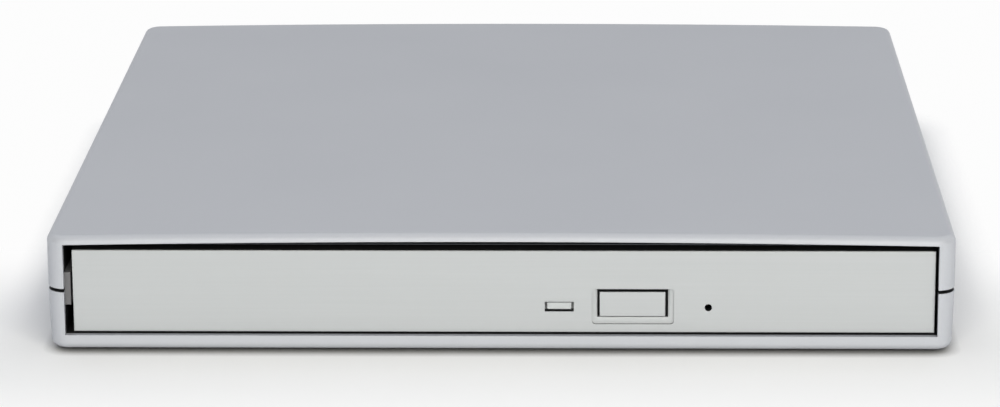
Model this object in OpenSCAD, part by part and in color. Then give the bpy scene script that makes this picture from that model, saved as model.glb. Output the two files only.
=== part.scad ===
// Slim disc drive in a two-part silver case, with a tray that slides out on telescopic rails.
// Millimetres, +Z up, +X to the right seen from the front, -Y towards the user.

/* [Disc] */
// Radius of the disc that the tray carries
disc_r = 60; // [56:0.5:66]
// Room round the disc in the recess of the tray
disc_room = 0.5; // [0.3:0.1:1.2]
// Lift of the disc above the floor of the recess
disc_lift = 1.1; // [0.9:0.1:1.4]
// Radius of the hub that centres the disc
hub_r = 7.4; // [7:0.05:7.8]
// Straight height of the hub above the disc's seat
hub_h = 1.8; // [1.4:0.1:2]

/* [Tray] */
// How far the tray slides out
tray_travel = 130; // [100:1:134]
// Width of the rim beside the recess
tray_rim = 1.9; // [1.5:0.1:4]
// Width of the rim in front of the recess
front_rim = 1.8; // [1.5:0.1:6]
// Width of the rim behind the recess
rear_rim = 0.9; // [0.6:0.1:4]
// Thickness of the floor of the recess
tray_floor_t = 1; // [0.8:0.1:1.6]
// Depth of the recess
recess_depth = 3.3; // [3:0.1:5]
// Thickness of the walls under the tray
box_wall = 1.2; // [0.8:0.1:1.8]
// Radius of the finger hollows at the edge of the recess
finger_r = 11; // [8:0.5:14]

/* [Drive] */
// Height of the space for the mechanism under the tray
mech_h = 6.3; // [6.2:0.1:8]
// Gap over the tray
tray_over = 1; // [0.9:0.1:3]
// Gap beside the tray
tray_side_gap = 0.45; // [0.3:0.05:1.2]
// Gap behind the tray
tray_rear_gap = 1.35; // [1.3:0.05:4]
// Steel of the lower pan
pan_t = 0.6; // [0.4:0.1:1]
// Steel of the upper cover
sheet_t = 0.5; // [0.4:0.1:1]
// Height of the shield above the floor of the pan
shield_lift = 0.7; // [0.7:0.05:0.9]
// Steel of the shield under the tray
shield_t = 0.4; // [0.3:0.1:0.6]

/* [Rails] */
// Width of a rail
rail_w = 2.8; // [2.4:0.1:3.4]
// Height of a rail
rail_h = 3; // [2.4:0.1:3.1]
// Web of the channels that hold a rail
rail_web = 0.9; // [0.6:0.1:1.2]
// Lips of the channels that hold a rail
rail_lip = 0.8; // [0.5:0.1:0.9]
// Running gap round a rail
rail_gap = 0.3; // [0.2:0.05:0.4]

/* [Bezel] */
// Depth of the bezel
bezel_t = 3.4; // [3.2:0.1:5]
// Thickness of the bezel's front
bezel_plate = 1.5; // [1.2:0.1:1.8]
// How far the bezel reaches past each side of the drive
bezel_overhang = 0.3; // [0.1:0.1:0.6]
// Width of the eject button
button_w = 9.8; // [7:0.1:11]
// Height of the eject button
button_h = 3.8; // [3:0.1:4.4]
// Place of the eject button right of the middle
button_x = 19.3; // [19:0.1:21]
// Height of the eject button above the bottom of the bezel
button_z = 4.4; // [4.2:0.1:5]
// Gap round the eject button
button_gap = 0.3; // [0.2:0.05:0.4]
// Width of the sloping surround of the eject button
button_bevel = 0.75; // [0.4:0.05:1]
// Travel of the eject button
button_travel = 0.5; // [0.3:0.05:0.6]
// Width of the light window
light_w = 3.6; // [2:0.1:5]
// Height of the light window
light_h = 1; // [0.6:0.1:1.4]
// Place of the light window right of the middle
light_x = 8.4; // [8:0.1:10]
// Height of the light window above the bottom of the bezel
light_z = 4.2; // [3.9:0.1:5]
// Radius of the emergency release hole
release_r = 0.55; // [0.4:0.05:0.8]
// Place of the emergency release hole right of the middle
release_x = 30.6; // [30:0.1:32]
// Height of the emergency release hole above the bottom of the bezel
release_z = 3.9; // [3.4:0.1:4.4]

/* [Case] */
// Thickness of the side walls
side_wall = 2.6; // [2:0.1:4]
// Thickness of the top
top_wall = 1.35; // [1.2:0.05:2.5]
// Thickness of the bottom
bottom_wall = 2.2; // [1.8:0.1:3]
// Thickness of the rear wall
rear_wall = 2; // [1.5:0.1:3]
// Gap left of the bezel
gap_left = 1.2; // [0.8:0.1:2]
// Gap right of the bezel
gap_right = 0.4; // [0.4:0.1:2]
// Gap under the drive
gap_under = 0.3; // [0.2:0.1:1]
// Gap over the drive
gap_over = 1.05; // [0.6:0.05:2]
// Depth of the bezel behind the front edge of the case
bezel_recess = 1.2; // [0.4:0.1:3]
// Room behind the drive
rear_space = 9.2; // [9.2:0.1:16]
// Height of the lower half above the underside
split_h = 8.9; // [8.6:0.1:10.4]
// Width of the groove between the halves
seam = 0.5; // [0.3:0.05:0.6]
// Rise of the crowned top at the middle
top_crown = 0.5; // [0.1:0.1:1.2]
// Radius of the upright corners
corner_r = 3; // [2.4:0.1:6]
// Radius of the top edges
top_edge_r = 1.2; // [0.6:0.1:1.8]
// Radius of the bottom edges
bottom_edge_r = 1.2; // [0.8:0.1:1.9]
// Draw of the lower half towards its underside
bottom_draft = 0.25; // [0:0.05:0.4]
// Height of the feet
foot_h = 0.6; // [0.5:0.1:2]
// Radius of the feet
foot_r = 4; // [3:0.5:6]
// Place of the feet in from each side
foot_inset = 14; // [10:0.5:24]
// Place of the USB socket right of the middle
usb_x = 26; // [24:0.5:30]

/* [Pickup] */
// Direction that the pickup travels in from the hub
sled_angle = 225; // [223:0.5:226]
// Radius of the lens path at its inner end
lens_r_in = 24; // [23.5:0.5:30]
// Radius of the lens path at its outer end
lens_r_out = 58; // [50:0.5:58]
// Length of the sled along its travel
sled_l = 13; // [11:0.5:13.5]
// Radius of the guide rods
rod_r = 1; // [0.8:0.05:1.1]
// Place of the guide rods each side of the lens path
rod_v = 12; // [11.5:0.1:12.2]
// Radius of the lead screw
screw_r = 1.2; // [0.9:0.05:1.3]
// Radius of the turntable
turntable_r = 14.6; // [13:0.1:14.9]
// Radius of the motor's rotor
rotor_r = 13.4; // [12:0.1:14]
// Focus travel of the lens each way
focus_travel = 0.35; // [0.2:0.05:0.4]

/* [Hidden] */
$fn = 48;
edge_step = 15;
cut = 1;
press_gap = 0.02;
run_gap = 0.05;
clear = 0.3;

// Drive, heights above its underside
tray_under = pan_t + mech_h;
floor_z = tray_under + tray_floor_t;
rim_z = floor_z + recess_depth;
cover_z = rim_z + tray_over;
drive_h = cover_z + sheet_t;
seat_z = floor_z + disc_lift;
shield_z = pan_t + shield_lift;
box_z = shield_z + shield_t;

// Traverse, in its own frame: u runs outwards along the lens path, v across it
traverse_gap = 0.5;
traverse_t = 1;
traverse_z = box_z + traverse_gap;
deck_z = traverse_z + traverse_t;
sled_z0 = deck_z + clear;
sled_z1 = tray_under - clear;
rod_z = (sled_z0 + sled_z1) / 2;
holder_l = 2;
holder_half = 1.8;
rod_u0 = lens_r_in - sled_l / 2 - 1.5 - holder_l;
rod_u1 = lens_r_out + sled_l / 2 + 0.7;
motor_z = (box_z + tray_under) / 2;
motor_r = (tray_under - box_z) / 2 - 0.2;
motor_l = 11.5;
sled_half_v = rod_v + 2.2;
screw_v = sled_half_v + clear + motor_r;
screw_u0 = rod_u0 + 6;
screw_holder_half = 1.1;
journal_r = screw_r / 2;
journal_l = 1.6;
nut_t = screw_v - screw_r - clear - sled_half_v;
// Reach of the traverse from the spindle to the front and to the left
traverse_u1 = rod_u1 + holder_l;
traverse_front = -traverse_u1 * sin(sled_angle) - (screw_v + screw_holder_half) * cos(sled_angle);
traverse_left = -traverse_u1 * cos(sled_angle) - (rod_v + holder_half) * sin(sled_angle);

// Drive, widths and depths
sheet_gap = 0.05;
recess_r = disc_r + disc_room;
rail_stack = 2 * rail_web + 2 * rail_gap + rail_w;
front_wall_t = box_wall + 0.2;
cover_skirt = 7.2;
cover_rear_skirt = 4.2;
tray_half = max(recess_r + tray_rim, traverse_left + clear + rail_stack - tray_side_gap);
tray_front = max(recess_r + front_rim, traverse_front + clear + front_wall_t);
pan_in = tray_half + tray_side_gap;
pan_half = pan_in + pan_t;
drive_half = pan_half + sheet_gap + sheet_t;
drive_w = 2 * drive_half;
tray_d = tray_front + recess_r + rear_rim;
bezel_seat = 0.1;
pan_inner_d = tray_d - bezel_seat + tray_rear_gap;
drive_d = pan_inner_d + pan_t + sheet_gap + sheet_t;

// Case
bezel_w = drive_w + 2 * bezel_overhang;
bezel_h = drive_h - 0.05;
cavity_w = bezel_w + gap_left + gap_right;
body_w = cavity_w + 2 * side_wall;
body_d = bezel_recess + bezel_t + bezel_seat + drive_d + rear_space + rear_wall;
cavity_h = gap_under + drive_h + gap_over;
front_y = -body_d / 2;
rear_y = body_d / 2;
inner_z = foot_h + bottom_wall;
ceiling_z = inner_z + cavity_h;
top_z = ceiling_z + top_wall;
split_z = foot_h + split_h;
drive_x = (gap_left - gap_right) / 2;
drive_z = inner_z + gap_under;
inner_rear_y = rear_y - rear_wall;

// Places along the depth
bezel_y = front_y + bezel_recess;
tray_y0 = bezel_y + bezel_t;
tray_y1 = tray_y0 + tray_d;
spindle_y = tray_y0 + tray_front;
pan_y0 = tray_y0 + bezel_seat;
pan_inner_y = pan_y0 + pan_inner_d;
pan_y1 = pan_inner_y + pan_t;
cover_y1 = pan_y0 + drive_d;

// Crowned ceiling of the case
ceiling_arch = top_crown + 0.1;
arch_steps = 8;

// Case fittings
tongue_t = side_wall / 2;
tongue_setback = 3;
tab_t = 0.5;
tab_l = 12;
tab_drop = 1.9;
tab_rise = 3.1;
rib_t = 1.6;
rib_l = 60;
rib_x = 40;
foot_pocket = 0.5;
foot_gap = 0.1;
boss_r = 2.8;
boss_inset = 6;
boss_back = 4.2;
case_screw_r = 0.85;
case_screw_hole_r = 1.1;
case_head_r = 1.9;
case_head_h = 1.3;
case_head_sink = bottom_wall - 0.2;
case_screw_l = 11;
peg_r = 0.75;
peg_places = [for (sx = [-1, 1]) [sx * (pan_half - 12), cover_y1 - 10]];

// Small screws
small_r = 0.7;
small_head_r = 1.5;
small_head_h = 0.4;

// Rails, seen from the middle outwards
rail_z = box_z - 0.2 + rail_lip + rail_gap + rail_h / 2;
channel_half_h = rail_h / 2 + rail_gap + rail_lip;
guide_web_x = pan_in - rail_web;
rail_out = guide_web_x - rail_gap;
rail_in = rail_out - rail_w;
runner_web_x = rail_in - rail_gap;
runner_in = runner_web_x - rail_web;
lip_meet = (rail_in + rail_out) / 2;
rail_setback = 4;
rail_end_gap = 3;

// Box under the tray
box_x1 = 36;
box_y1 = 31;
box_side_y0 = -48;
shield_screw_places = [
    [6 - runner_in, box_y1 - 7],
    [box_x1 - 5, box_y1 - 7],
    [box_x1 - 5, box_side_y0 + 8],
    [6 - runner_in, tray_y0 + 6.4]
];
shield_screw_l = 4;
shield_boss_r = 2;
hook_x = 46;
hook_w = 6;
hook_h = 1.6;
hook_z = 3;
hook_reach = 0.8;
hook_gap = 0.15;

// Traverse
damper_places = [[-18, 19], [-18, -19], [48, -18], [34, 22.5]];
damper_r = 3;
damper_neck_r = 2;
damper_pin_r = 1;
damper_top = 1.2;
ear_r = 4.2;
post_r = 1.8;
deck_outline = [
    [-18, -22],
    [10, -22],
    [40, -16],
    [traverse_u1, -rod_v - holder_half],
    [traverse_u1, screw_v + screw_holder_half],
    [10, 22],
    [-18, 22]
];

// Lens
holder_half_u = 3.6;
holder_half_v = 5.6;
lens_well_gap = 0.4;
lens_r = 2;
lens_h = 0.4;
lens_holder_z1 = tray_under + 0.1;
lens_holder_z0 = lens_holder_z1 - 2;

// Plate that covers the traverse
plate_t = 0.5;
ledge_t = tray_floor_t * 0.4;
ledge_w = 1.2;
plate_seat_z = tray_under + ledge_t;
plate_gap = 0.2;
well_r = turntable_r + 5.9;
well_half_v = 9.5;
well_u1 = lens_r_out + holder_half_u + ledge_w + 2 * clear;
plate_u1 = recess_r - 1;
slot_half_v = 6.6;
slot_u0 = lens_r_in - 7.6;
plate_screw_r = turntable_r + 3;
plate_screw_angles = [120, 180, 240];
plate_post_r = 1.2;
plate_screw_l = 3;

// Spindle
stator_r = rotor_r - 2;
stator_h = 1;
bearing_r = 2.4;
shaft_r = 0.75;
rotor_wall = 1;
rotor_top_z = tray_under + 0.1;
rotor_top_t = 0.6;
pad_t = 0.4;
pad_w = 3.6;
turntable_z = seat_z - pad_t;
hub_cap_h = 0.8;
hub_cap_r = hub_r - 2;
claw_w = 2.4;
claw_depth = 2.8;
claw_gap = 0.2;

// Eject latch
latch_place = [46, -46];
latch_t = 1.2;
latch_z = box_z + 0.5;
latch_post_r = 1.2;
latch_hub_r = 2.6;
latch_nose_x = 3.4;
latch_nose_y = -13;
latch_tail_y = -15.6;
latch_arm_w = 2.4;
catch_place = [latch_place[0] + 5, latch_place[1] - 15];
catch_r = 1;
catch_top = latch_z + latch_t + 0.4;
solenoid_size = [6.7, 8, 3.1];
solenoid_place = [latch_place[0] - 10.5, latch_place[1] - 12];
latch_coil_r = 2.1;
latch_wire_r = 0.2;
latch_turns = 2.5;

// Board behind the bezel
front_board_t = 0.8;
front_board_z = box_z + 0.3;
front_board_top = front_board_z + front_board_t;
front_board_y0 = tray_y0 + 2.2;
front_board_d = 9;
front_board_left = 4.4;
front_board_right = 5.7;
front_board_x0 = light_x - front_board_left;
front_board_x1 = button_x + front_board_right;
front_peg_inset = 1.5;
switch_size = [4.5, 3.4, 3.2];
plunger_reach = 1;
light_proud = 0.25;
light_side_gap = 0.37;
light_top_gap = 0.08;
light_under_gap = 0.43;

// Boards and cable fixed in the drive
board_z = pan_t + 1;
board_t = 1;
board_top = board_z + board_t;
board_x0 = -50;
board_x1 = 47;
board_y0 = box_y1 + box_wall + 2.8;
board_y1 = pan_inner_y - 1;
standoff_r = 1.6;
board_screw_places = [
    for (x = [board_x0 + 3, board_x1 - 14], y = [board_y0 + 3, board_y1 - 3]) [x, y]
];
ribbon_x = 42;
ribbon_w = 9;
ribbon_t = 0.2;
ribbon_low = pan_t + 0.2;
ribbon_high = tray_under - 0.4;
ribbon_socket_d = 3.6;
ribbon_socket_h = 2.2;
ribbon_socket_wall = 0.5;
ribbon_entry = 2;
ribbon_socket_y = board_y0 + 1;
tray_socket_y = tray_y1 - 9;
ribbon_slack = 3.3;
ribbon_bend_y = tray_socket_y - tray_travel / 2 - ribbon_slack;
spring_x = 54.5;
spring_tab_y = box_y1 + 7;
spring_tab_t = 2;
spring_r = 1.5;
spring_wire_r = 0.3;
spring_turns = 8;
spring_l = pan_inner_y - spring_tab_y - spring_tab_t - 2 * run_gap;

// Data plug between the drive and the bridge board
plug_w = 34;
plug_x = -2;
plug_h = 4;
blade_t = 1.2;
blade_w = 30;
blade_reach = 4;
blade_z = board_top + 2;
blade_gap = 0.15;

// Bridge board behind the drive, heights above the ground
bridge_half = 44;
bridge_t = 1;
bridge_z = inner_z + 0.6;
bridge_top = bridge_z + bridge_t;
bridge_y0 = cover_y1 + 0.9;
bridge_y1 = inner_rear_y - 0.4;
bridge_screw_x = bridge_half - 4;
bridge_step = 1;
bridge_chip_size = [7, 6, 1.2];
bridge_chip_x = small_head_r + bridge_step - bridge_screw_x;
usb_size = [7.6, 7.2, 3.9];
usb_wall = 0.35;
usb_mouth_y = rear_y - 0.6;
usb_cut_gap = 0.4;

// A box between two opposite corners
module block(from, to) {
    translate(from)
        cube(to - from);
}

// Moves to the drive's own frame: its middle, with heights from its underside
module in_drive() {
    translate([drive_x, 0, drive_z])
        children();
}

// Moves to the spindle
module on_spindle() {
    translate([drive_x, spindle_y, drive_z])
        children();
}

// Moves to the traverse's frame, with x along the lens path
module on_traverse() {
    on_spindle()
        rotate([0, 0, sled_angle])
            children();
}

// A rod along x from one place to another
module rod_x(r, x0, x1) {
    translate([x0, 0, 0])
        rotate([0, 90, 0])
            cylinder(r = r, h = x1 - x0);
}

// A rod along y from one place to another
module rod_y(r, y0, y1) {
    translate([0, y0, 0])
        rotate([-90, 0, 0])
            cylinder(r = r, h = y1 - y0);
}

// Front half of the plan outline from left to right: corner centres and outward directions
function front_outline() =
    let (
        x = body_w / 2 - corner_r,
        y = corner_r - body_d / 2,
        stations = 4
    )
    concat(
        [for (a = [180:15:270]) [[-x, y], [cos(a), sin(a)]]],
        [for (i = [1 - stations:stations - 1]) [[x * i / stations, y], [0, -1]]],
        [for (a = [270:15:360]) [[x, y], [cos(a), sin(a)]]]
    );

// Ring of points round the case, a step out from the corner centres, raised by the crown
function case_ring(out, z, crowned) =
    let (
        front = [
            for (p = front_outline())
                let (q = p[0] + out * p[1])
                [q[0], q[1], z + (crowned ? crown_at(q[0]) : 0)]
        ]
    )
    concat(front, [for (i = [len(front) - 1:-1:0]) [front[i][0], -front[i][1], front[i][2]]]);

// Rise of the crowned top at a place between the round corners
function crown_at(x) =
    let (reach = body_w / 2 - corner_r)
    top_crown * (1 - pow(min(abs(x) / reach, 1), 2));

// Rings of a coil about the z axis
function coil_point(r, h, turns, t) = [r * cos(360 * turns * t), r * sin(360 * turns * t), h * t];

// A wire wound about the z axis, as one closed tube
module coil(r, wire, h, turns) {
    sides = 6;
    rings = ceil(turns * 12);
    rise = h - 2 * wire;
    points = [
        for (i = [0:rings], k = [0:sides - 1])
            let (
                t = i / rings,
                a = 360 * turns * t,
                c = coil_point(r, rise, turns, t),
                b = 360 * k / sides,
                out = wire * cos(b)
            )
            [c[0] + out * cos(a), c[1] + out * sin(a), wire + c[2] + wire * sin(b)]
    ];
    skin = [
        for (i = [0:rings - 1], k = [0:sides - 1])
            let (n = (k + 1) % sides, p = i * sides, q = p + sides)
            each [[p + k, p + n, q + n], [p + k, q + n, q + k]]
    ];
    last = rings * sides;
    ends = [
        for (k = [1:sides - 2])
            each [[0, k + 1, k], [last, last + k, last + k + 1]]
    ];
    polyhedron(points, [for (f = concat(skin, ends)) [f[0], f[2], f[1]]]);
}

// Closed form through rings that are listed from the lowest to the highest
module case_form(rings) {
    n = len(rings[0]);
    top = (len(rings) - 1) * n;
    sides = [
        for (j = [0:len(rings) - 2], i = [0:n - 1])
            let (a = j * n + i, b = j * n + (i + 1) % n)
            each [[a, a + n, b + n], [a, b + n, b]]
    ];
    caps = [
        for (i = [0:n / 2 - 2])
            let (f = i, g = i + 1, r = n - 1 - i, q = n - 2 - i)
            each [[f, g, q], [f, q, r], [top + f, top + r, top + q], [top + f, top + q, top + g]]
    ];
    polyhedron([for (ring = rings) each ring], concat(sides, caps));
}

// Hollow of the case, open at the front, with a crowned ceiling
module case_cavity() {
    translate([0, inner_rear_y, 0])
        rotate([90, 0, 0])
            linear_extrude(inner_rear_y - front_y + cut)
                polygon(concat(
                    [[cavity_w / 2, inner_z], [-cavity_w / 2, inner_z]],
                    [
                        for (i = [-arch_steps:arch_steps])
                            let (t = i / arch_steps)
                            [t * cavity_w / 2, ceiling_z + ceiling_arch * (1 - t * t)]
                    ]
                ));
}

// Place of each case screw
module at_case_screws() {
    for (sx = [-1, 1])
        translate([sx * (cavity_w / 2 - boss_inset), inner_rear_y - boss_back, 0])
            children();
}

// Upper half of the case: crowned top, snap tabs, pressing ribs and screw bosses
module top_shell() {
    color([0.72, 0.73, 0.76]) {
        difference() {
            case_form(concat(
                [case_ring(corner_r, split_z + seam, false)],
                [
                    for (a = [0:edge_step:90])
                        case_ring(
                            corner_r - top_edge_r * (1 - cos(a)),
                            top_z - top_edge_r * (1 - sin(a)),
                            true
                        )
                ]
            ));
            case_cavity();
            usb_cut();
        }
        snap_tabs();
        for (x = [-rib_x, 0, rib_x])
            block(
                [drive_x + x - rib_t / 2, -rib_l / 2, drive_z + drive_h],
                [drive_x + x + rib_t / 2, rib_l / 2, ceiling_z + top_wall / 2]
            );
        at_case_screws()
            difference() {
                translate([0, 0, split_z + seam])
                    cylinder(r = boss_r, h = ceiling_z + top_wall / 2 - split_z - seam);
                translate([0, 0, split_z])
                    cylinder(r = case_screw_r + press_gap, h = case_screw_l - split_h + case_head_sink + cut);
            }
    }
}

// Tabs of the upper half that reach down inside the lower half
module snap_tabs() {
    tab_y = [[front_y + bezel_recess, -1], [tray_y0 + cut, 1], [0, -1], [0, 1]];
    for (t = tab_y) {
        side = t[1];
        wall_x = cavity_w / 2;
        inner_x = wall_x - (side < 0 ? gap_left - clear : tab_t);
        y = t[0];
        for (part = [[wall_x, split_z - tab_drop], [wall_x + tongue_t, split_z + 2 * seam]])
            block(
                [min(side * inner_x, side * part[0]), y, part[1]],
                [max(side * inner_x, side * part[0]), y + tab_l, split_z + tab_rise]
            );
    }
}

// Cut for the USB socket in the rear wall
module usb_cut() {
    block(
        [usb_x - usb_size[0] / 2 - usb_cut_gap, inner_rear_y - cut, bridge_top - usb_cut_gap],
        [usb_x + usb_size[0] / 2 + usb_cut_gap, rear_y + cut, bridge_top + usb_size[2] + usb_cut_gap]
    );
}

// Lower half of the case: pockets for the feet, locating pegs and screw bosses
module bottom_shell() {
    color([0.70, 0.71, 0.73]) {
        difference() {
            case_form(concat(
                [
                    for (a = [90:-edge_step:0])
                        case_ring(
                            corner_r - bottom_draft - bottom_edge_r * (1 - cos(a)),
                            foot_h + bottom_edge_r * (1 - sin(a)),
                            false
                        )
                ],
                [case_ring(corner_r, split_z, false)]
            ));
            case_cavity();
            usb_cut();
            at_feet()
                translate([0, 0, foot_h - cut])
                    cylinder(r = foot_r + foot_gap, h = foot_pocket + cut);
            at_case_screws() {
                translate([0, 0, foot_h - cut])
                    cylinder(r = case_head_r + clear, h = case_head_sink + cut);
                cylinder(r = case_screw_hole_r, h = split_z);
            }
        }
        difference() {
            translate([0, 0, split_z - cut])
                linear_extrude(cut + seam)
                    difference() {
                        translate([-cavity_w / 2 - tongue_t, front_y + tongue_setback])
                            square([
                                cavity_w + 2 * tongue_t,
                                inner_rear_y + tongue_t - front_y - tongue_setback
                            ]);
                        translate([-cavity_w / 2, front_y])
                            square([cavity_w, inner_rear_y - front_y]);
                    }
            usb_cut();
        }
        at_case_screws()
            difference() {
                translate([0, 0, foot_h + case_head_sink])
                    cylinder(r = boss_r, h = split_h + seam - case_head_sink);
                cylinder(r = case_screw_hole_r, h = split_z + cut);
            }
        for (p = peg_places)
            translate([drive_x + p[0], p[1], inner_z - bottom_wall / 4]) {
                cylinder(r = peg_r, h = bottom_wall / 4 + gap_under + pan_t);
                cylinder(r = peg_r + cut, h = bottom_wall / 4 + gap_under);
            }
        for (x = [-rib_x, rib_x])
            block(
                [drive_x + x - rib_t / 2, -rib_l / 2, inner_z - bottom_wall / 4],
                [drive_x + x + rib_t / 2, rib_l / 2, drive_z]
            );
        for (sx = [-1, 1])
            translate([sx * bridge_screw_x, (bridge_y0 + bridge_y1) / 2, inner_z - bottom_wall / 4])
                difference() {
                    cylinder(r = standoff_r + 0.6, h = bridge_z - inner_z + bottom_wall / 4);
                    cylinder(r = small_r + press_gap, h = bridge_z);
                }
    }
}

// Place of each foot
module at_feet() {
    for (sx = [-1, 1], sy = [-1, 1])
        translate([sx * (body_w / 2 - foot_inset), sy * (body_d / 2 - foot_inset), 0])
            children();
}

// Rubber feet in their pockets
module rubber_feet() {
    chamfer = 0.3;
    color([0.12, 0.12, 0.12])
        at_feet() {
            cylinder(r1 = foot_r - chamfer, r2 = foot_r, h = chamfer);
            translate([0, 0, chamfer])
                cylinder(r = foot_r, h = foot_h + foot_pocket - chamfer);
        }
}

// Screws that hold the halves of the case together
module case_screws() {
    color([0.35, 0.35, 0.37])
        at_case_screws()
            translate([0, 0, foot_h + case_head_sink])
                difference() {
                    union() {
                        translate([0, 0, -case_head_h])
                            cylinder(r = case_head_r, h = case_head_h);
                        cylinder(r = case_screw_r, h = case_screw_l);
                    }
                    cross_slot(case_head_r, -case_head_h);
                }
}

// Cross-shaped recess in a screw head whose face is at z, facing down
module cross_slot(head_r, z) {
    slot_w = head_r / 3;
    for (a = [0, 90])
        rotate([0, 0, a])
            block([-head_r * 0.6, -slot_w / 2, z - cut], [head_r * 0.6, slot_w / 2, z + slot_w]);
}

// A small screw along z with its head under z = 0
module small_screw(l, head_h = small_head_h) {
    translate([0, 0, -head_h])
        cylinder(r = small_head_r, h = head_h);
    cylinder(r = small_r, h = l);
}

// Circuit board between the drive and the USB socket
module bridge_board() {
    color([0.08, 0.32, 0.16])
        difference() {
            block([-bridge_half, bridge_y0, bridge_z], [bridge_half, bridge_y1, bridge_top]);
            for (sx = [-1, 1])
                translate([sx * bridge_screw_x, (bridge_y0 + bridge_y1) / 2, bridge_z - cut])
                    cylinder(r = small_r + press_gap, h = bridge_t + 2 * cut);
        }
}

// Screws of the bridge board
module bridge_screws() {
    color([0.75, 0.75, 0.77])
        for (sx = [-1, 1])
            translate([sx * bridge_screw_x, (bridge_y0 + bridge_y1) / 2, bridge_top])
                mirror([0, 0, 1])
                    small_screw(bridge_top - inner_z);
}

// Controller on the bridge board
module bridge_chip() {
    color([0.1, 0.1, 0.11])
        translate([bridge_chip_x, (bridge_y0 + bridge_y1 - bridge_chip_size[1]) / 2, bridge_top])
            cube(bridge_chip_size);
}

// Crystal and capacitors on the bridge board
module bridge_parts() {
    crystal = [3.2, 2.5, 1.2];
    capacitor = [1, 1.8, 0.8];
    crystal_x = bridge_chip_x + bridge_chip_size[0] + bridge_step + crystal[0] / 2;
    capacitor_x = usb_x - usb_size[0] / 2 - bridge_step;
    color([0.7, 0.66, 0.55])
        translate([0, (bridge_y0 + bridge_y1) / 2, bridge_top]) {
            translate([crystal_x, 0, crystal[2] / 2])
                cube(crystal, center = true);
            for (i = [0:2])
                translate([capacitor_x - 1.5 * bridge_step * i, 0, capacitor[2] / 2])
                    cube(capacitor, center = true);
        }
}

// Steel shell of the USB socket
module usb_socket() {
    half = usb_size[0] / 2;
    y0 = usb_mouth_y - usb_size[1];
    color([0.8, 0.8, 0.82])
        difference() {
            block([usb_x - half, y0, bridge_top], [usb_x + half, usb_mouth_y, bridge_top + usb_size[2]]);
            block(
                [usb_x - half + usb_wall, y0 + usb_wall, bridge_top + usb_wall],
                [usb_x + half - usb_wall, rear_y + cut, bridge_top + usb_size[2] - usb_wall]
            );
        }
}

// Contact tongue inside the USB socket
module usb_tongue() {
    half = usb_size[0] / 2 - 1.6;
    y0 = usb_mouth_y - usb_size[1] + usb_wall;
    mid = bridge_top + usb_size[2] / 2;
    color([0.1, 0.1, 0.1]) {
        block([usb_x - half, y0, mid - 0.5], [usb_x + half, usb_mouth_y - 1, mid + 0.5]);
        block(
            [usb_x - usb_size[0] / 2 + usb_wall, y0, bridge_top + usb_wall],
            [usb_x + usb_size[0] / 2 - usb_wall, y0 + 1.2, bridge_top + usb_size[2] - usb_wall]
        );
    }
}

// Socket on the bridge board that takes the drive's plug
module sata_socket() {
    mouth_y = cover_y1 + 0.6;
    half_w = blade_w / 2 + blade_gap;
    half_h = blade_t / 2 + blade_gap;
    z = drive_z + blade_z;
    color([0.1, 0.1, 0.1])
        translate([drive_x + plug_x, mouth_y, 0])
            difference() {
                block([-plug_w / 2, 0, bridge_top], [plug_w / 2, blade_reach + 1.6, z + plug_h / 2]);
                block([-half_w, -cut, z - half_h], [half_w, blade_reach + blade_gap, z + half_h]);
            }
}

// Folded steel pan of the drive
module drive_pan() {
    color([0.66, 0.67, 0.69])
        in_drive() {
            difference() {
                union() {
                    block([-pan_half, pan_y0, 0], [pan_half, pan_y1, pan_t]);
                    for (sx = [-1, 1])
                        block(
                            [min(sx * pan_in, sx * pan_half), pan_y0, 0],
                            [max(sx * pan_in, sx * pan_half), pan_y1, cover_z]
                        );
                    block([-pan_half, pan_inner_y, 0], [pan_half, pan_y1, cover_z]);
                }
                block(
                    [plug_x - plug_w / 2 - clear, pan_inner_y - cut, board_top - clear],
                    [plug_x + plug_w / 2 + clear, pan_y1 + cut, blade_z + plug_h / 2 + clear]
                );
                for (p = peg_places)
                    translate([p[0], p[1], -cut])
                        cylinder(r = peg_r + run_gap, h = pan_t + 2 * cut);
                translate([catch_place[0], catch_place[1], -cut])
                    cylinder(r = catch_r + press_gap, h = pan_t + 2 * cut);
                at_cover_screws()
                    rod_y(small_r + press_gap, -cut - pan_t, cut);
            }
            for (p = board_screw_places)
                translate([p[0], p[1], pan_t / 2])
                    difference() {
                        cylinder(r = standoff_r, h = board_z - pan_t / 2);
                        cylinder(r = small_r + press_gap, h = board_z);
                    }
        }
}

// Place of each cover screw on the outer face of the pan's rear wall
module at_cover_screws() {
    for (sx = [-1, 1])
        translate([sx * (drive_half - 14), pan_y1, cover_z - 2])
            children();
}

// Folded steel cover of the drive
module drive_cover() {
    skirt_z = cover_z - cover_skirt;
    rear_skirt_z = cover_z - cover_rear_skirt;
    color([0.74, 0.75, 0.77])
        in_drive()
            difference() {
                union() {
                    block([-drive_half, pan_y0, cover_z], [drive_half, cover_y1, drive_h]);
                    for (sx = [-1, 1])
                        block(
                            [min(sx * (drive_half - sheet_t), sx * drive_half), pan_y0, skirt_z],
                            [max(sx * (drive_half - sheet_t), sx * drive_half), cover_y1, drive_h]
                        );
                    block([-drive_half, cover_y1 - sheet_t, rear_skirt_z], [drive_half, cover_y1, drive_h]);
                }
                at_cover_screws()
                    rod_y(small_r + press_gap, 0, sheet_t + sheet_gap + cut);
            }
}

// Screws through the cover's rear skirt
module cover_screws() {
    color([0.8, 0.8, 0.82])
        in_drive()
            at_cover_screws() {
                rod_y(small_r, -pan_t - clear, sheet_t + sheet_gap + cut / 4);
                rod_y(small_head_r, sheet_t + sheet_gap, sheet_t + sheet_gap + small_head_h);
            }
}

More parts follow.
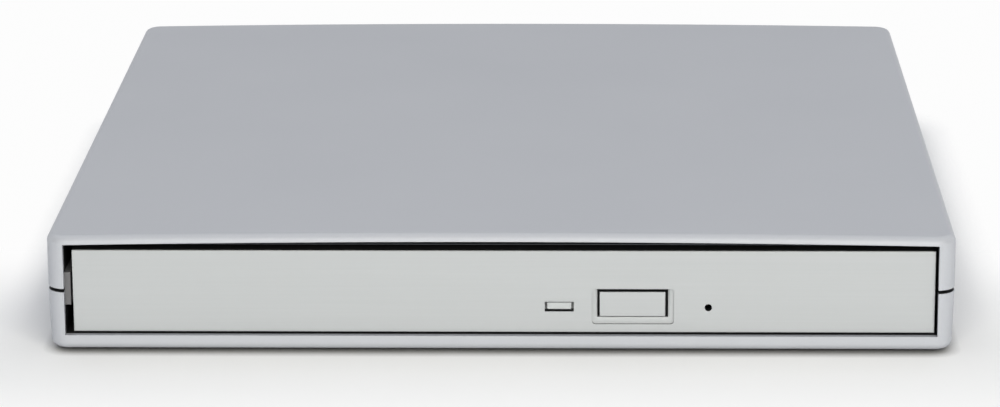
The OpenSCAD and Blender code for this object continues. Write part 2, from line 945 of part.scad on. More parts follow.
// Drive electronics on the floor of the pan
module main_board() {
    color([0.07, 0.3, 0.17])
        in_drive()
            difference() {
                block([board_x0, board_y0, board_z], [board_x1, board_y1, board_top]);
                for (p = board_screw_places)
                    translate([p[0], p[1], board_z - cut])
                        cylinder(r = small_r + press_gap, h = board_t + 2 * cut);
            }
}

// Screws of the main board
module board_screws() {
    color([0.8, 0.8, 0.82])
        in_drive()
            for (p = board_screw_places)
                translate([p[0], p[1], board_top])
                    mirror([0, 0, 1])
                        small_screw(board_top - pan_t);
}

// Chips on the main board
module main_chips() {
    chip_w = [12, 9, 8];
    chip_x = [board_x0 + 16, board_x0 + 33, board_x1 - 27];
    chip_h = 1.2;
    color([0.1, 0.1, 0.11])
        in_drive()
            for (i = [0:2])
                translate([chip_x[i] - chip_w[i] / 2, board_y0 + 3, board_top])
                    cube([chip_w[i], chip_w[i], chip_h]);
}

// Socket of the ribbon cable on the main board
module ribbon_socket() {
    half = ribbon_w / 2 + ribbon_socket_wall;
    slot = ribbon_w / 2 + run_gap;
    color([0.85, 0.83, 0.76])
        in_drive()
            translate([ribbon_x, ribbon_socket_y, 0])
                difference() {
                    block([-half, 0, board_top], [half, ribbon_socket_d, board_top + ribbon_socket_h]);
                    block(
                        [-slot, -cut, ribbon_start_z() - ribbon_t],
                        [slot, ribbon_entry + run_gap, ribbon_start_z() + ribbon_t]
                    );
                }
}

// Height at which the ribbon enters its socket on the main board
function ribbon_start_z() = board_top + ribbon_socket_h / 2;

// Middle line of the folded ribbon, seen from the side: pairs of y and z
function ribbon_line() =
    let (
        r = (ribbon_high - ribbon_low) / 2,
        mid = (ribbon_high + ribbon_low) / 2,
        steps = 12
    )
    concat(
        [[ribbon_socket_y + ribbon_entry, ribbon_start_z()], [ribbon_socket_y - 2, ribbon_start_z()]],
        [[ribbon_socket_y - 6, ribbon_low]],
        [for (i = [0:steps]) [ribbon_bend_y - r * sin(180 * i / steps), mid - r * cos(180 * i / steps)]],
        [[tray_socket_y + ribbon_entry / 2, ribbon_high]]
    );

// Unit direction across a line at one of its points
function across(line, i) =
    let (
        a = line[max(i - 1, 0)],
        b = line[min(i + 1, len(line) - 1)],
        d = (b - a) / norm(b - a)
    )
    [-d[1], d[0]];

// Flat ribbon cable, folded between the pan and the tray
module ribbon_cable() {
    line = ribbon_line();
    left = [for (i = [0:len(line) - 1]) line[i] + across(line, i) * ribbon_t / 2];
    right = [for (i = [len(line) - 1:-1:0]) line[i] - across(line, i) * ribbon_t / 2];
    color([0.86, 0.86, 0.82])
        in_drive()
            translate([ribbon_x - ribbon_w / 2, 0, 0])
                rotate([90, 0, 90])
                    linear_extrude(ribbon_w)
                        polygon(concat(left, right));
}

// Plug of the drive, through the rear wall of the pan
module sata_plug() {
    plug_y0 = board_y1 - 6;
    color([0.12, 0.12, 0.12])
        in_drive() {
            block(
                [plug_x - plug_w / 2, plug_y0, board_top],
                [plug_x + plug_w / 2, cover_y1 - sheet_t, blade_z + plug_h / 2]
            );
            block(
                [plug_x - blade_w / 2, plug_y0, blade_z - blade_t / 2],
                [plug_x + blade_w / 2, cover_y1 + blade_reach, blade_z + blade_t / 2]
            );
        }
}

// Cross-section of a channel whose web is at x0 and whose lips end at x1
module channel_section(x0, x1, top) {
    web = x0 < x1 ? rail_web : -rail_web;
    z0 = rail_z - channel_half_h;
    difference() {
        translate([min(x0, x1), z0])
            square([abs(x1 - x0), top - z0]);
        translate([min(x0 + web, x1 + sign(web)), rail_z - rail_h / 2 - rail_gap])
            square([abs(x1 + sign(web) - x0 - web), rail_h + 2 * rail_gap]);
    }
}

// Extrudes a section drawn in x and z along y
module along_y(y0, y1) {
    translate([0, y1, 0])
        rotate([90, 0, 0])
            linear_extrude(y1 - y0)
                children();
}

// Fixed channel of a rail, on the wall of the pan
module rail_guide(side) {
    color([0.16, 0.16, 0.17])
        in_drive()
            mirror([side < 0 ? 1 : 0, 0, 0])
                along_y(pan_y0 + rail_setback / 2, pan_inner_y - rail_end_gap)
                    channel_section(pan_in, lip_meet + rail_gap / 2, rail_z + channel_half_h);
}

module left_rail_guide() {
    rail_guide(-1);
}

module right_rail_guide() {
    rail_guide(1);
}

// Sliding rail between the fixed channel and the tray
module slide_rail(side) {
    color([0.78, 0.79, 0.8])
        in_drive()
            mirror([side < 0 ? 1 : 0, 0, 0])
                block(
                    [rail_in, pan_y0 + rail_setback, rail_z - rail_h / 2],
                    [rail_out, pan_inner_y - rail_setback, rail_z + rail_h / 2]
                );
}

module left_rail() {
    slide_rail(-1);
}

module right_rail() {
    slide_rail(1);
}

// Pin on the pan that the latch holds
module latch_catch() {
    color([0.8, 0.8, 0.82])
        in_drive()
            translate([catch_place[0], catch_place[1], 0])
                cylinder(r = catch_r, h = catch_top);
}

// Spring that pushes the released tray out a little way
module eject_spring() {
    color([0.75, 0.76, 0.78])
        in_drive()
            translate([spring_x, pan_inner_y - run_gap, rail_z])
                rotate([90, 0, 0])
                    coil(spring_r, spring_wire_r, spring_l, spring_turns);
}

// Outline of the well in the tray that the traverse cover sits in
module well_outline(inset) {
    circle(well_r - inset);
    translate([0, -well_half_v + inset])
        square([well_u1 - inset, 2 * (well_half_v - inset)]);
}

// Tray that carries the disc and, under it, the whole mechanism
module tray() {
    wall_y1 = tray_y0 + front_wall_t;
    root_z = tray_under + tray_floor_t / 2;
    color([0.13, 0.13, 0.14]) {
        in_drive() {
            difference() {
                union() {
                    block([-tray_half, tray_y0, tray_under], [tray_half, tray_y1, rim_z]);
                    for (side = [0, 1])
                        mirror([side, 0, 0])
                            along_y(tray_y0 + rail_setback / 2, tray_y1)
                                channel_section(runner_in, lip_meet - rail_gap / 2, root_z);
                    block([-runner_in, tray_y0, box_z], [runner_in, wall_y1, root_z]);
                    block([-runner_in, box_y1, box_z], [box_x1 + box_wall, box_y1 + box_wall, root_z]);
                    block([box_x1, box_side_y0, box_z], [box_x1 + box_wall, box_y1 + box_wall, root_z]);
                }
                translate([0, spindle_y, floor_z])
                    cylinder(r = recess_r, h = recess_depth + cut, $fn = 128);
                for (a = [-50, 130])
                    translate([recess_r * cos(a), spindle_y + recess_r * sin(a), floor_z + recess_depth / 2])
                        cylinder(r = finger_r, h = recess_depth);
                block(
                    [light_x - light_w, tray_y0 - cut, box_z - cut],
                    [release_x + 3, wall_y1 + cut, tray_under]
                );
                for (sx = [-1, 1])
                    block(
                        [sx * hook_x - hook_w / 2 - hook_gap, tray_y0 - cut, hook_z - hook_gap],
                        [sx * hook_x + hook_w / 2 + hook_gap, wall_y1 + cut, hook_z + hook_h + hook_gap]
                    );
                translate([0, spindle_y, 0])
                    rotate([0, 0, sled_angle]) {
                        translate([0, 0, plate_seat_z])
                            linear_extrude(lens_h + focus_travel + tray_floor_t)
                                well_outline(0);
                        translate([0, 0, tray_under - cut])
                            linear_extrude(tray_floor_t + cut)
                                well_outline(ledge_w);
                    }
            }
            for (p = shield_screw_places)
                translate([p[0], p[1], box_z])
                    difference() {
                        cylinder(r = shield_boss_r, h = root_z - box_z);
                        translate([0, 0, -cut])
                            cylinder(r = small_r + press_gap, h = shield_screw_l + cut);
                    }
            translate([latch_place[0], latch_place[1], box_z - run_gap])
                cylinder(r = latch_post_r, h = root_z - box_z + run_gap);
            for (x = [front_board_x0 + front_peg_inset, front_board_x1 - front_peg_inset])
                translate([x, front_board_y0 + front_board_d - front_peg_inset, front_board_z]) {
                    cylinder(r = small_r, h = root_z - front_board_z);
                    translate([0, 0, front_board_t])
                        cylinder(r = small_head_r, h = root_z - front_board_top);
                }
            block(
                [spring_x - 1.5, spring_tab_y, rail_z - 2],
                [spring_x + 2, spring_tab_y + spring_tab_t, root_z]
            );
        }
        on_traverse()
            for (p = damper_places)
                translate([p[0], p[1], 0]) {
                    translate([0, 0, deck_z + damper_top])
                        cylinder(r = post_r, h = root_z - deck_z - damper_top);
                    translate([0, 0, box_z + run_gap])
                        cylinder(r = damper_pin_r, h = tray_under - box_z);
                }
    }
}

// Front of the tray, with the button's window, the light's slot and the release hole
module bezel() {
    lip = 1.2;
    win_w = button_w + 2 * button_gap;
    win_h = button_h + 2 * button_gap;
    bevel_depth = button_bevel;
    back_y = bezel_y + bezel_plate;
    color([0.82, 0.82, 0.83])
        in_drive() {
            difference() {
                block([-bezel_w / 2, bezel_y, 0], [bezel_w / 2, tray_y0, bezel_h]);
                block([-bezel_w / 2 + lip, back_y, lip], [bezel_w / 2 - lip, tray_y0 + cut, bezel_h - lip]);
                translate([button_x, 0, button_z]) {
                    block([-win_w / 2, bezel_y - cut, -win_h / 2], [win_w / 2, back_y + cut, win_h / 2]);
                    hull() {
                        block(
                            [-win_w / 2 - button_bevel, bezel_y - 0.01, -win_h / 2 - button_bevel],
                            [win_w / 2 + button_bevel, bezel_y, win_h / 2 + button_bevel]
                        );
                        block(
                            [-win_w / 2, bezel_y, -win_h / 2],
                            [win_w / 2, bezel_y + bevel_depth, win_h / 2]
                        );
                    }
                }
                translate([light_x, 0, light_z])
                    block(
                        [-light_w / 2 - light_side_gap, bezel_y - cut, -light_h / 2 - light_under_gap],
                        [light_w / 2 + light_side_gap, back_y + cut, light_h / 2 + light_top_gap]
                    );
                translate([release_x, 0, release_z])
                    rod_y(release_r, bezel_y - cut, back_y + cut);
            }
            for (sx = [-1, 1])
                block(
                    [sx * hook_x - hook_w / 2, back_y - bezel_plate / 2, hook_z],
                    [sx * hook_x + hook_w / 2, tray_y0 + box_wall + hook_reach, hook_z + hook_h]
                );
        }
}

// Board behind the bezel for the switch and the light
module front_board() {
    color([0.08, 0.32, 0.16])
        in_drive()
            difference() {
                block(
                    [front_board_x0, front_board_y0, front_board_z],
                    [front_board_x1, front_board_y0 + front_board_d, front_board_top]
                );
                for (x = [front_board_x0 + front_peg_inset, front_board_x1 - front_peg_inset])
                    translate([x, front_board_y0 + front_board_d - front_peg_inset, front_board_z - cut])
                        cylinder(r = small_r + press_gap, h = front_board_t + 2 * cut);
            }
}

// Push switch behind the eject button
module eject_switch() {
    y0 = front_board_y0 + clear;
    color([0.2, 0.2, 0.21])
        in_drive()
            translate([button_x, 0, 0]) {
                block(
                    [-switch_size[0] / 2, y0, front_board_top],
                    [switch_size[0] / 2, y0 + switch_size[1], front_board_top + switch_size[2]]
                );
                translate([0, 0, button_z])
                    rod_y(0.8, y0 - plunger_reach, y0 + cut);
            }
}

// Light behind the light pipe
module indicator_led() {
    color([0.9, 0.92, 0.88])
        in_drive()
            block(
                [light_x - 1.5, front_board_y0 + clear, front_board_top],
                [light_x + 1.5, front_board_y0 + clear + 1.4, light_z + 0.8]
            );
}

// Clear pipe that carries the light to the front
module light_pipe() {
    flange = 0.6;
    flange_y = bezel_y + bezel_plate + run_gap;
    color([0.92, 0.93, 0.93])
        in_drive()
            translate([light_x, 0, light_z]) {
                block(
                    [-light_w / 2, bezel_y - light_proud, -light_h / 2],
                    [light_w / 2, flange_y + flange, light_h / 2]
                );
                block(
                    [-light_w / 2 - flange, flange_y, -light_h / 2 - flange],
                    [light_w / 2 + flange, flange_y + flange, light_h / 2 + flange]
                );
                block(
                    [-light_w / 3, flange_y, -light_h / 2],
                    [light_w / 3, front_board_y0 + run_gap, light_h / 2]
                );
            }
}

// Steel plate that closes the mechanism from below
module tray_shield() {
    edge = 0.35;
    color([0.7, 0.71, 0.73])
        in_drive()
            difference() {
                block(
                    [-runner_in + edge, tray_y0 + box_wall, shield_z],
                    [box_x1 + box_wall - edge, box_y1 + box_wall - edge, box_z]
                );
                for (p = shield_screw_places)
                    translate([p[0], p[1], shield_z - cut])
                        cylinder(r = small_r + press_gap, h = shield_t + 2 * cut);
            }
}

// Screws of the shield
module shield_screws() {
    color([0.8, 0.8, 0.82])
        in_drive()
            for (p = shield_screw_places)
                translate([p[0], p[1], shield_z])
                    small_screw(shield_screw_l);
}

// Metal frame that holds the spindle motor, the rods and the sled motor
module traverse_base() {
    window_v = slot_half_v + 1.4;
    color([0.55, 0.56, 0.58])
        on_traverse() {
            difference() {
                translate([0, 0, traverse_z])
                    linear_extrude(traverse_t)
                        difference() {
                            union() {
                                polygon(deck_outline);
                                for (p = damper_places)
                                    translate(p)
                                        circle(ear_r);
                            }
                            for (p = damper_places)
                                translate(p)
                                    circle(damper_neck_r + run_gap);
                            circle(bearing_r + press_gap);
                            translate([rod_u0 + holder_l + 4, -window_v])
                                square([rod_u1 - rod_u0 - holder_l - 8, 2 * window_v]);
                            translate([screw_u0 - motor_l - clear, screw_v - motor_r - clear])
                                square([motor_l + 2 * clear, 2 * (motor_r + clear)]);
                            translate([screw_u0 + 2 * clear + holder_l, screw_v - screw_r - clear])
                                square([rod_u1 - screw_u0 - holder_l - 3 * clear, 2 * (screw_r + clear)]);
                        }
            }
            for (u = [rod_u0, rod_u1], sv = [-1, 1])
                rod_holder(u, sv * rod_v, rod_z, rod_r + press_gap, holder_half);
            for (u = [screw_u0 + clear, rod_u1])
                rod_holder(u, screw_v, motor_z, journal_r + run_gap, screw_holder_half);
            for (a = plate_screw_angles)
                rotate([0, 0, a])
                    translate([plate_screw_r, 0, deck_z - traverse_t / 2])
                        difference() {
                            cylinder(r = plate_post_r, h = plate_seat_z - deck_z + traverse_t / 2);
                            translate([0, 0, 1])
                                cylinder(r = small_r + press_gap, h = plate_seat_z);
                        }
        }
}

// Upright on the deck with a bore along u
module rod_holder(u, v, z, bore_r, half) {
    difference() {
        block([u, v - half, deck_z - traverse_t / 2], [u + holder_l, v + half, z + 1.4]);
        translate([0, v, z])
            rod_x(bore_r, u - cut, u + holder_l + cut);
    }
}

// Rubber bushes between the traverse and the posts of the tray
module rubber_dampers() {
    color([0.1, 0.1, 0.1])
        on_traverse()
            for (p = damper_places)
                translate([p[0], p[1], 0])
                    difference() {
                        union() {
                            translate([0, 0, box_z])
                                cylinder(r = damper_r, h = traverse_gap);
                            translate([0, 0, box_z])
                                cylinder(r = damper_neck_r, h = deck_z + damper_top - box_z);
                            translate([0, 0, deck_z])
                                cylinder(r = damper_r, h = damper_top);
                        }
                        cylinder(r = damper_pin_r + press_gap, h = tray_under);
                    }
}

// Steel rods that guide the sled
module guide_rods() {
    color([0.85, 0.85, 0.87])
        on_traverse()
            for (sv = [-1, 1])
                translate([0, sv * rod_v, rod_z])
                    rod_x(rod_r, rod_u0, traverse_u1);
}

// Stepping motor that turns the lead screw
module sled_motor() {
    color([0.72, 0.73, 0.75])
        on_traverse()
            translate([0, screw_v, motor_z])
                difference() {
                    rod_x(motor_r, screw_u0 - motor_l, screw_u0);
                    rod_x(journal_r + run_gap, screw_u0 - journal_l - run_gap, screw_u0 + cut);
                }
}

// Fixed part of the spindle motor, with its bearing tube
module spindle_stator() {
    color([0.6, 0.4, 0.2])
        on_traverse()
            difference() {
                union() {
                    translate([0, 0, deck_z])
                        cylinder(r = stator_r, h = stator_h);
                    translate([0, 0, traverse_z])
                        cylinder(r = bearing_r, h = rotor_top_z - rotor_top_t - clear - traverse_z);
                }
                translate([0, 0, traverse_z + clear])
                    cylinder(r = shaft_r + run_gap, h = tray_under);
            }
}

// Plate round the hub and the lens path
module traverse_cover() {
    color([0.3, 0.3, 0.32])
        on_traverse()
            translate([0, 0, plate_seat_z])
                linear_extrude(plate_t)
                    difference() {
                        intersection() {
                            well_outline(plate_gap);
                            circle(plate_u1);
                        }
                        circle(turntable_r + 0.8);
                        translate([slot_u0, -slot_half_v])
                            square([well_u1, 2 * slot_half_v]);
                        for (a = plate_screw_angles)
                            rotate([0, 0, a])
                                translate([plate_screw_r, 0])
                                    circle(small_r + press_gap);
                    }
}

// Screws that hold the plate on the traverse
module traverse_screws() {
    color([0.85, 0.85, 0.87])
        on_traverse()
            for (a = plate_screw_angles)
                rotate([0, 0, a])
                    translate([plate_screw_r, 0, plate_seat_z + plate_t])
                        mirror([0, 0, 1])
                            small_screw(plate_screw_l);
}

// Coil that releases the latch
module latch_solenoid() {
    color([0.62, 0.36, 0.16])
        in_drive()
            translate([solenoid_place[0], solenoid_place[1], tray_under - solenoid_size[2]])
                cube(solenoid_size);
}

// Clip that keeps the latch on its post
module latch_clip() {
    color([0.8, 0.8, 0.82])
        in_drive()
            translate([latch_place[0], latch_place[1], box_z])
                difference() {
                    cylinder(r = 2.1, h = latch_z - box_z - run_gap);
                    translate([0, 0, -cut])
                        cylinder(r = latch_post_r + press_gap, h = 2 * cut);
                }
}

// Spring that turns the latch back
module latch_spring() {
    spring_z = latch_z + latch_t + run_gap;
    color([0.75, 0.76, 0.78])
        in_drive()
            translate([latch_place[0], latch_place[1], spring_z])
                coil(latch_coil_r, latch_wire_r, tray_under - spring_z - run_gap, latch_turns);
}

// Socket of the ribbon cable under the tray
module tray_socket() {
    half = ribbon_w / 2 + ribbon_socket_wall;
    slot = ribbon_w / 2 + run_gap;
    color([0.85, 0.83, 0.76])
        in_drive()
            translate([ribbon_x, tray_socket_y, ribbon_high])
                difference() {
                    block([-half, 0, -1], [half, ribbon_socket_d, tray_under - ribbon_high]);
                    block([-slot, -cut, -ribbon_t], [slot, ribbon_entry / 2 + run_gap, ribbon_t]);
                }
}

// Eject button with its flange behind the bezel and its stem towards the switch
module eject_button() {
    flange = 0.8;
    flange_y = bezel_y + bezel_plate + 0.2;
    flange_t = 0.6;
    stem_y1 = front_board_y0 + clear - plunger_reach - button_travel - 0.2;
    color([0.84, 0.84, 0.85])
        in_drive()
            translate([button_x, 0, button_z]) {
                block(
                    [-button_w / 2, bezel_y, -button_h / 2],
                    [button_w / 2, flange_y + flange_t, button_h / 2]
                );
                block(
                    [-button_w / 2 - flange, flange_y, -button_h / 2 - flange],
                    [button_w / 2 + flange, flange_y + flange_t, button_h / 2 + flange]
                );
                block([-1.5, flange_y, -1], [1.5, stem_y1, 1]);
            }
}

// Turning can of the spindle motor, with its shaft
module spindle_rotor() {
    skirt_z = deck_z + 0.4;
    top_z0 = rotor_top_z - rotor_top_t;
    color([0.78, 0.79, 0.8])
        on_spindle() {
            difference() {
                translate([0, 0, skirt_z])
                    cylinder(r = rotor_r, h = rotor_top_z - skirt_z);
                translate([0, 0, skirt_z - cut])
                    cylinder(r = rotor_r - rotor_wall, h = top_z0 - skirt_z + cut);
            }
            translate([0, 0, traverse_z + 2 * clear])
                cylinder(r = shaft_r, h = rotor_top_z - traverse_z - 2 * clear);
        }
}

// Table that the disc sits on, with its centring hub
module turntable() {
    color([0.2, 0.2, 0.21])
        on_spindle()
            difference() {
                union() {
                    translate([0, 0, rotor_top_z])
                        cylinder(r = turntable_r, h = turntable_z - rotor_top_z);
                    translate([0, 0, turntable_z - cut / 2])
                        cylinder(r = hub_r, h = pad_t + hub_h + cut / 2);
                    translate([0, 0, seat_z + hub_h])
                        cylinder(r1 = hub_r, r2 = hub_cap_r, h = hub_cap_h);
                }
                for (a = [0, 120, 240])
                    rotate([0, 0, a])
                        block(
                            [hub_r - claw_depth, -claw_w / 2 - claw_gap, seat_z],
                            [hub_r + cut, claw_w / 2 + claw_gap, seat_z + hub_h + hub_cap_h + cut]
                        );
            }
}

// Three sprung claws of the hub
module hub_claws() {
    color([0.75, 0.76, 0.78])
        on_spindle()
            intersection() {
                union()
                    for (a = [0, 120, 240])
                        rotate([0, 0, a])
                            block(
                                [hub_r - claw_depth, -claw_w / 2, seat_z],
                                [hub_r, claw_w / 2, seat_z + hub_h + hub_cap_h / 2]
                            );
                cylinder(r = hub_r - run_gap, h = drive_h);
            }
}

// Rubber ring that the disc rests on
module disc_pad() {
    color([0.1, 0.1, 0.1])
        on_spindle()
            translate([0, 0, turntable_z])
                difference() {
                    cylinder(r = turntable_r - 0.4, h = pad_t);
                    translate([0, 0, -cut])
                        cylinder(r = turntable_r - 0.4 - pad_w, h = pad_t + 2 * cut);
                }
}

// Sled that carries the lens along the rods
module pickup_sled() {
    fork_gap = 0.1;
    well_u = holder_half_u + lens_well_gap;
    well_v = holder_half_v + lens_well_gap;
    well_z = lens_holder_z0 - focus_travel - clear;
    color([0.45, 0.46, 0.48])
        on_traverse()
            translate([lens_r_in, 0, 0])
                difference() {
                    block([-sled_l / 2, -sled_half_v, sled_z0], [sled_l / 2, sled_half_v, sled_z1]);
                    translate([0, rod_v, rod_z])
                        rod_x(rod_r + run_gap, -sled_l, sled_l);
                    block(
                        [-sled_l, -sled_half_v - cut, rod_z - rod_r - fork_gap],
                        [sled_l, -rod_v + rod_r + clear, rod_z + rod_r + fork_gap]
                    );
                    block([-well_u, -well_v, well_z], [well_u, well_v, sled_z1 + cut]);
                }
}

// Follower of the sled beside the lead screw
module sled_nut() {
    nut_u0 = -1;
    nut_u1 = 6;
    nut_half_z = 0.7;
    color([0.9, 0.88, 0.8])
        on_traverse()
            translate([lens_r_in, 0, motor_z])
                block([nut_u0, sled_half_v, -nut_half_z], [nut_u1, sled_half_v + nut_t, nut_half_z]);
}

// Sprung holder of the lens
module lens_holder() {
    color([0.15, 0.15, 0.16])
        on_traverse()
            translate([lens_r_in, 0, 0])
                difference() {
                    block(
                        [-holder_half_u, -holder_half_v, lens_holder_z0],
                        [holder_half_u, holder_half_v, lens_holder_z1]
                    );
                    translate([0, 0, lens_holder_z0 - cut])
                        cylinder(r = lens_r * 0.8, h = lens_holder_z1);
                }
}

// Lens, a flat-based cap of glass
module objective_lens() {
    ball_r = (lens_r * lens_r + lens_h * lens_h) / (2 * lens_h);
    color([0.5, 0.6, 0.8])
        on_traverse()
            translate([lens_r_in, 0, lens_holder_z1])
                rotate_extrude($fn = 96)
                    intersection() {
                        translate([0, lens_h - ball_r])
                            circle(ball_r, $fn = 360);
                        square([lens_r, lens_h]);
                    }
}

// Screw that moves the sled
module lead_screw() {
    thread_u0 = screw_u0 + clear + holder_l + clear;
    color([0.85, 0.85, 0.87])
        on_traverse()
            translate([0, screw_v, motor_z]) {
                rod_x(journal_r, screw_u0 - journal_l, traverse_u1 - clear);
                rod_x(screw_r, thread_u0, rod_u1 - clear);
            }
}

// Latch that holds the closed tray, drawn released
module latch_lever() {
    tail = [release_x - latch_place[0], latch_tail_y];
    nose = [latch_nose_x, latch_nose_y];
    color([0.85, 0.84, 0.8])
        in_drive()
            translate([latch_place[0], latch_place[1], latch_z]) {
                difference() {
                    union() {
                        cylinder(r = latch_hub_r, h = latch_t);
                        arm([0, 0], tail);
                        arm([0, 0], [0, nose[1]]);
                        arm([0, nose[1]], nose - [latch_arm_w / 2, 0]);
                    }
                    translate([0, 0, -cut])
                        cylinder(r = latch_post_r + run_gap, h = latch_t + 2 * cut);
                }
                translate([tail[0], tail[1], 0])
                    block([-1.6, -0.6, 0], [1.6, 0.6, release_z + release_r - latch_z]);
            }
}

// Flat arm of the latch from one place to another
module arm(from, to) {
    run = to - from;
    translate([from[0], from[1], 0])
        rotate([0, 0, atan2(run[1], run[0])])
            translate([0, -latch_arm_w / 2, 0])
                cube([norm(run), latch_arm_w, latch_t]);
    translate([to[0], to[1], 0])
        cylinder(r = latch_arm_w / 2, h = latch_t);
}

top_shell();
bottom_shell();
rubber_feet();
case_screws();
bridge_board();
bridge_screws();
bridge_chip();
bridge_parts();
usb_socket();
usb_tongue();
sata_socket();
drive_pan();
drive_cover();
cover_screws();
main_board();
board_screws();
main_chips();
ribbon_socket();
sata_plug();
left_rail_guide();
right_rail_guide();
latch_catch();
eject_spring();
ribbon_cable();
left_rail();
right_rail();
tray();
bezel();
front_board();
eject_switch();
indicator_led();
light_pipe();
tray_shield();
shield_screws();
traverse_base();
rubber_dampers();
guide_rods();
sled_motor();
spindle_stator();
traverse_cover();
traverse_screws();
latch_solenoid();
latch_clip();
latch_spring();
tray_socket();
eject_button();
spindle_rotor();
turntable();
hub_claws();
disc_pad();
pickup_sled();
sled_nut();
lens_holder();
objective_lens();
lead_screw();
latch_lever();
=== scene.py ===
# Look of the slim disc drive: its pieces, finishes, floor, light and camera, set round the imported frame.
import math

import bmesh
import bpy
from mathutils import Matrix, Vector


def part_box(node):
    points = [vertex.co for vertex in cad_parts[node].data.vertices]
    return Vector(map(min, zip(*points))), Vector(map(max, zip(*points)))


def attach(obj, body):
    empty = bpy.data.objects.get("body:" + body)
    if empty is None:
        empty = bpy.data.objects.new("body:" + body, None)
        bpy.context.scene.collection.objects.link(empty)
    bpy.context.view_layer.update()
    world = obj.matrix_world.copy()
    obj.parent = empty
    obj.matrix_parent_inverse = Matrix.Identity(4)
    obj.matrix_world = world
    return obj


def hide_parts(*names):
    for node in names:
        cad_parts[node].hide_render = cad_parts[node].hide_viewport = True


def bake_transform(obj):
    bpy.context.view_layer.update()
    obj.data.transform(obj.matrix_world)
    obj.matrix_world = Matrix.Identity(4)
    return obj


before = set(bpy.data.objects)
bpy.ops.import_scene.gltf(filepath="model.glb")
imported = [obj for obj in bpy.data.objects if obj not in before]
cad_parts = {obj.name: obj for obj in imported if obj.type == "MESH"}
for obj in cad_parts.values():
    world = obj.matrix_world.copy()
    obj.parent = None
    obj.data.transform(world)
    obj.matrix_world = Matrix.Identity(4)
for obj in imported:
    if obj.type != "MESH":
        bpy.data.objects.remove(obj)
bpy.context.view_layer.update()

# Sizes below are millimetres; a finished piece is brought to metres
MM = 0.001
# Places closer than this count as the same
NEAR = 0.01
# How far a cutting form runs past the face that it opens
CUT = 1

# Case
HALF_W = 67.7
HALF_D = 71.0
UNDERSIDE = 0.6
BASE_TOP = 9.5
LID_BOTTOM = 10.0
TOP = 18.2
CROWN = 0.5
CORNER_R = 3.0
TOP_EDGE_R = 1.2
BOTTOM_EDGE_R = 1.2
DRAFT = 0.25
INSIDE_HALF = 65.1
INSIDE_REAR = 69.0
INSIDE_FLOOR = 2.8
CEILING = 16.85
ARCH = 0.6
PAINTED_TO = -69.75
LID_EASE = 0.15
SILL_EASE = 0.32
TONGUE_T = 1.3
TONGUE_FRONT = -68.0
TONGUE_ROOT = 0.5
TONGUE_TOP = LID_BOTTOM - 0.01
SEAM_EASE = 0.1
FOOT_PLACES = ((-53.7, -57.0), (53.7, -57.0), (-53.7, 57.0), (53.7, 57.0))
FOOT_R = 4.0
FOOT_GAP = 0.1
FOOT_TOP = 1.1
# Snap tabs: side, front end and thickness of each
TAB_PLACES = ((-1, -69.8, 0.9), (1, -65.4, 0.5), (-1, 0.0, 0.9), (1, 0.0, 0.5))
TAB_L = 12.0
TAB_Z = (7.3, 12.3)
TAB_OFF_WALL = 0.02
TAB_ROOT = 0.8
TAB_ROOT_RISE = 0.5
# Screw bosses of both halves, with the pilot hole above and the shank and head below
SCREW_PLACES = ((-59.1, 64.8), (59.1, 64.8))
BOSS_R = 2.8
BOSS_FOOT = 2.4
PILOT_R = 0.87
PILOT_TOP = 14.6
SHANK_R = 1.1
HEAD_R = 2.2
HEAD_TOP = 2.6
# Ribs that hold the drive, pegs in its mounting holes, and posts of the bridge board
LID_RIBS = (-40, 0, 40)
BASE_RIBS = (-40, 40)
RIB_HALF_T = 0.8
RIB_REACH = 30
ROOT_IN_LID = CEILING + 0.7
ROOT_IN_FLOOR = 2.3
PEG_X = (-51.05, 51.85)
PEG_Y = 49.8
PEG_R = 0.75
PEG_TOP = 3.7
PEG_SEAT_R = 1.75
POST_X = (-40, 40)
POST_Y = 64.65
POST_R = 2.2
POST_TOP = 3.4
POST_HOLE_R = 0.72
POST_HOLE_Z = (2.6, 4)
# Opening for the rear socket: left, right, bottom and top
SOCKET_CUT = (21.8, 30.2, 4.0, 8.7)

# Drive in the case
DRIVE_X = 0.4
DRIVE_Z = 3.1
DRIVE_TOP = 15.8
BEZEL_LEFT = -63.9
BEZEL_RIGHT = 64.7
BEZEL_FRONT = -69.8
BEZEL_BACK = -66.4
BEZEL_TOP = 15.75
BEZEL_PLATE = 1.5
BEZEL_LIP = 1.2
HOOK_X = (-46, 46)
HOOK_HALF_W = 3
HOOK_Z = (3, 4.6)
HOOK_REACH = 2.0
FLANGE_T = 0.6
BUTTON = (19.7, 7.5)
BUTTON_HALF = (4.9, 1.9)
# Window and the outline of its sloping surround: left, right, bottom and top
BUTTON_WINDOW = (14.45, 25.02, 5.43, 9.85)
BUTTON_SURROUND = (13.8, 25.74, 4.55, 9.86)
SURROUND_DEPTH = 0.5
SURROUND_LINE = 0.14
LIGHT = (8.8, 7.3)
LIGHT_HALF = (1.8, 0.5)
# Room round the light in its slot: at the sides, below and above
LIGHT_SLOT = (0.37, 0.43, 0.08)
RELEASE = (31.0, 7.0)
RELEASE_R = 0.55

# Shading breaks at edges sharper than this, in degrees
SHARP = 32


# Shapes

def add_box(bm, low, high):
    made = bmesh.ops.create_cube(bm, size=1.0)["verts"]
    size = [b - a for a, b in zip(low, high)]
    middle = [(a + b) / 2 for a, b in zip(low, high)]
    bmesh.ops.scale(bm, vec=size, verts=made)
    bmesh.ops.translate(bm, vec=middle, verts=made)
    return made


def add_rod(bm, radius, start, end, sides=48):
    start, end = Vector(start), Vector(end)
    run = end - start
    made = bmesh.ops.create_cone(
        bm, cap_ends=True, segments=sides, radius1=radius, radius2=radius, depth=run.length
    )["verts"]
    turn = Vector((0, 0, 1)).rotation_difference(run).to_matrix()
    bmesh.ops.rotate(bm, matrix=turn, verts=made)
    bmesh.ops.translate(bm, vec=(start + end) / 2, verts=made)
    return made


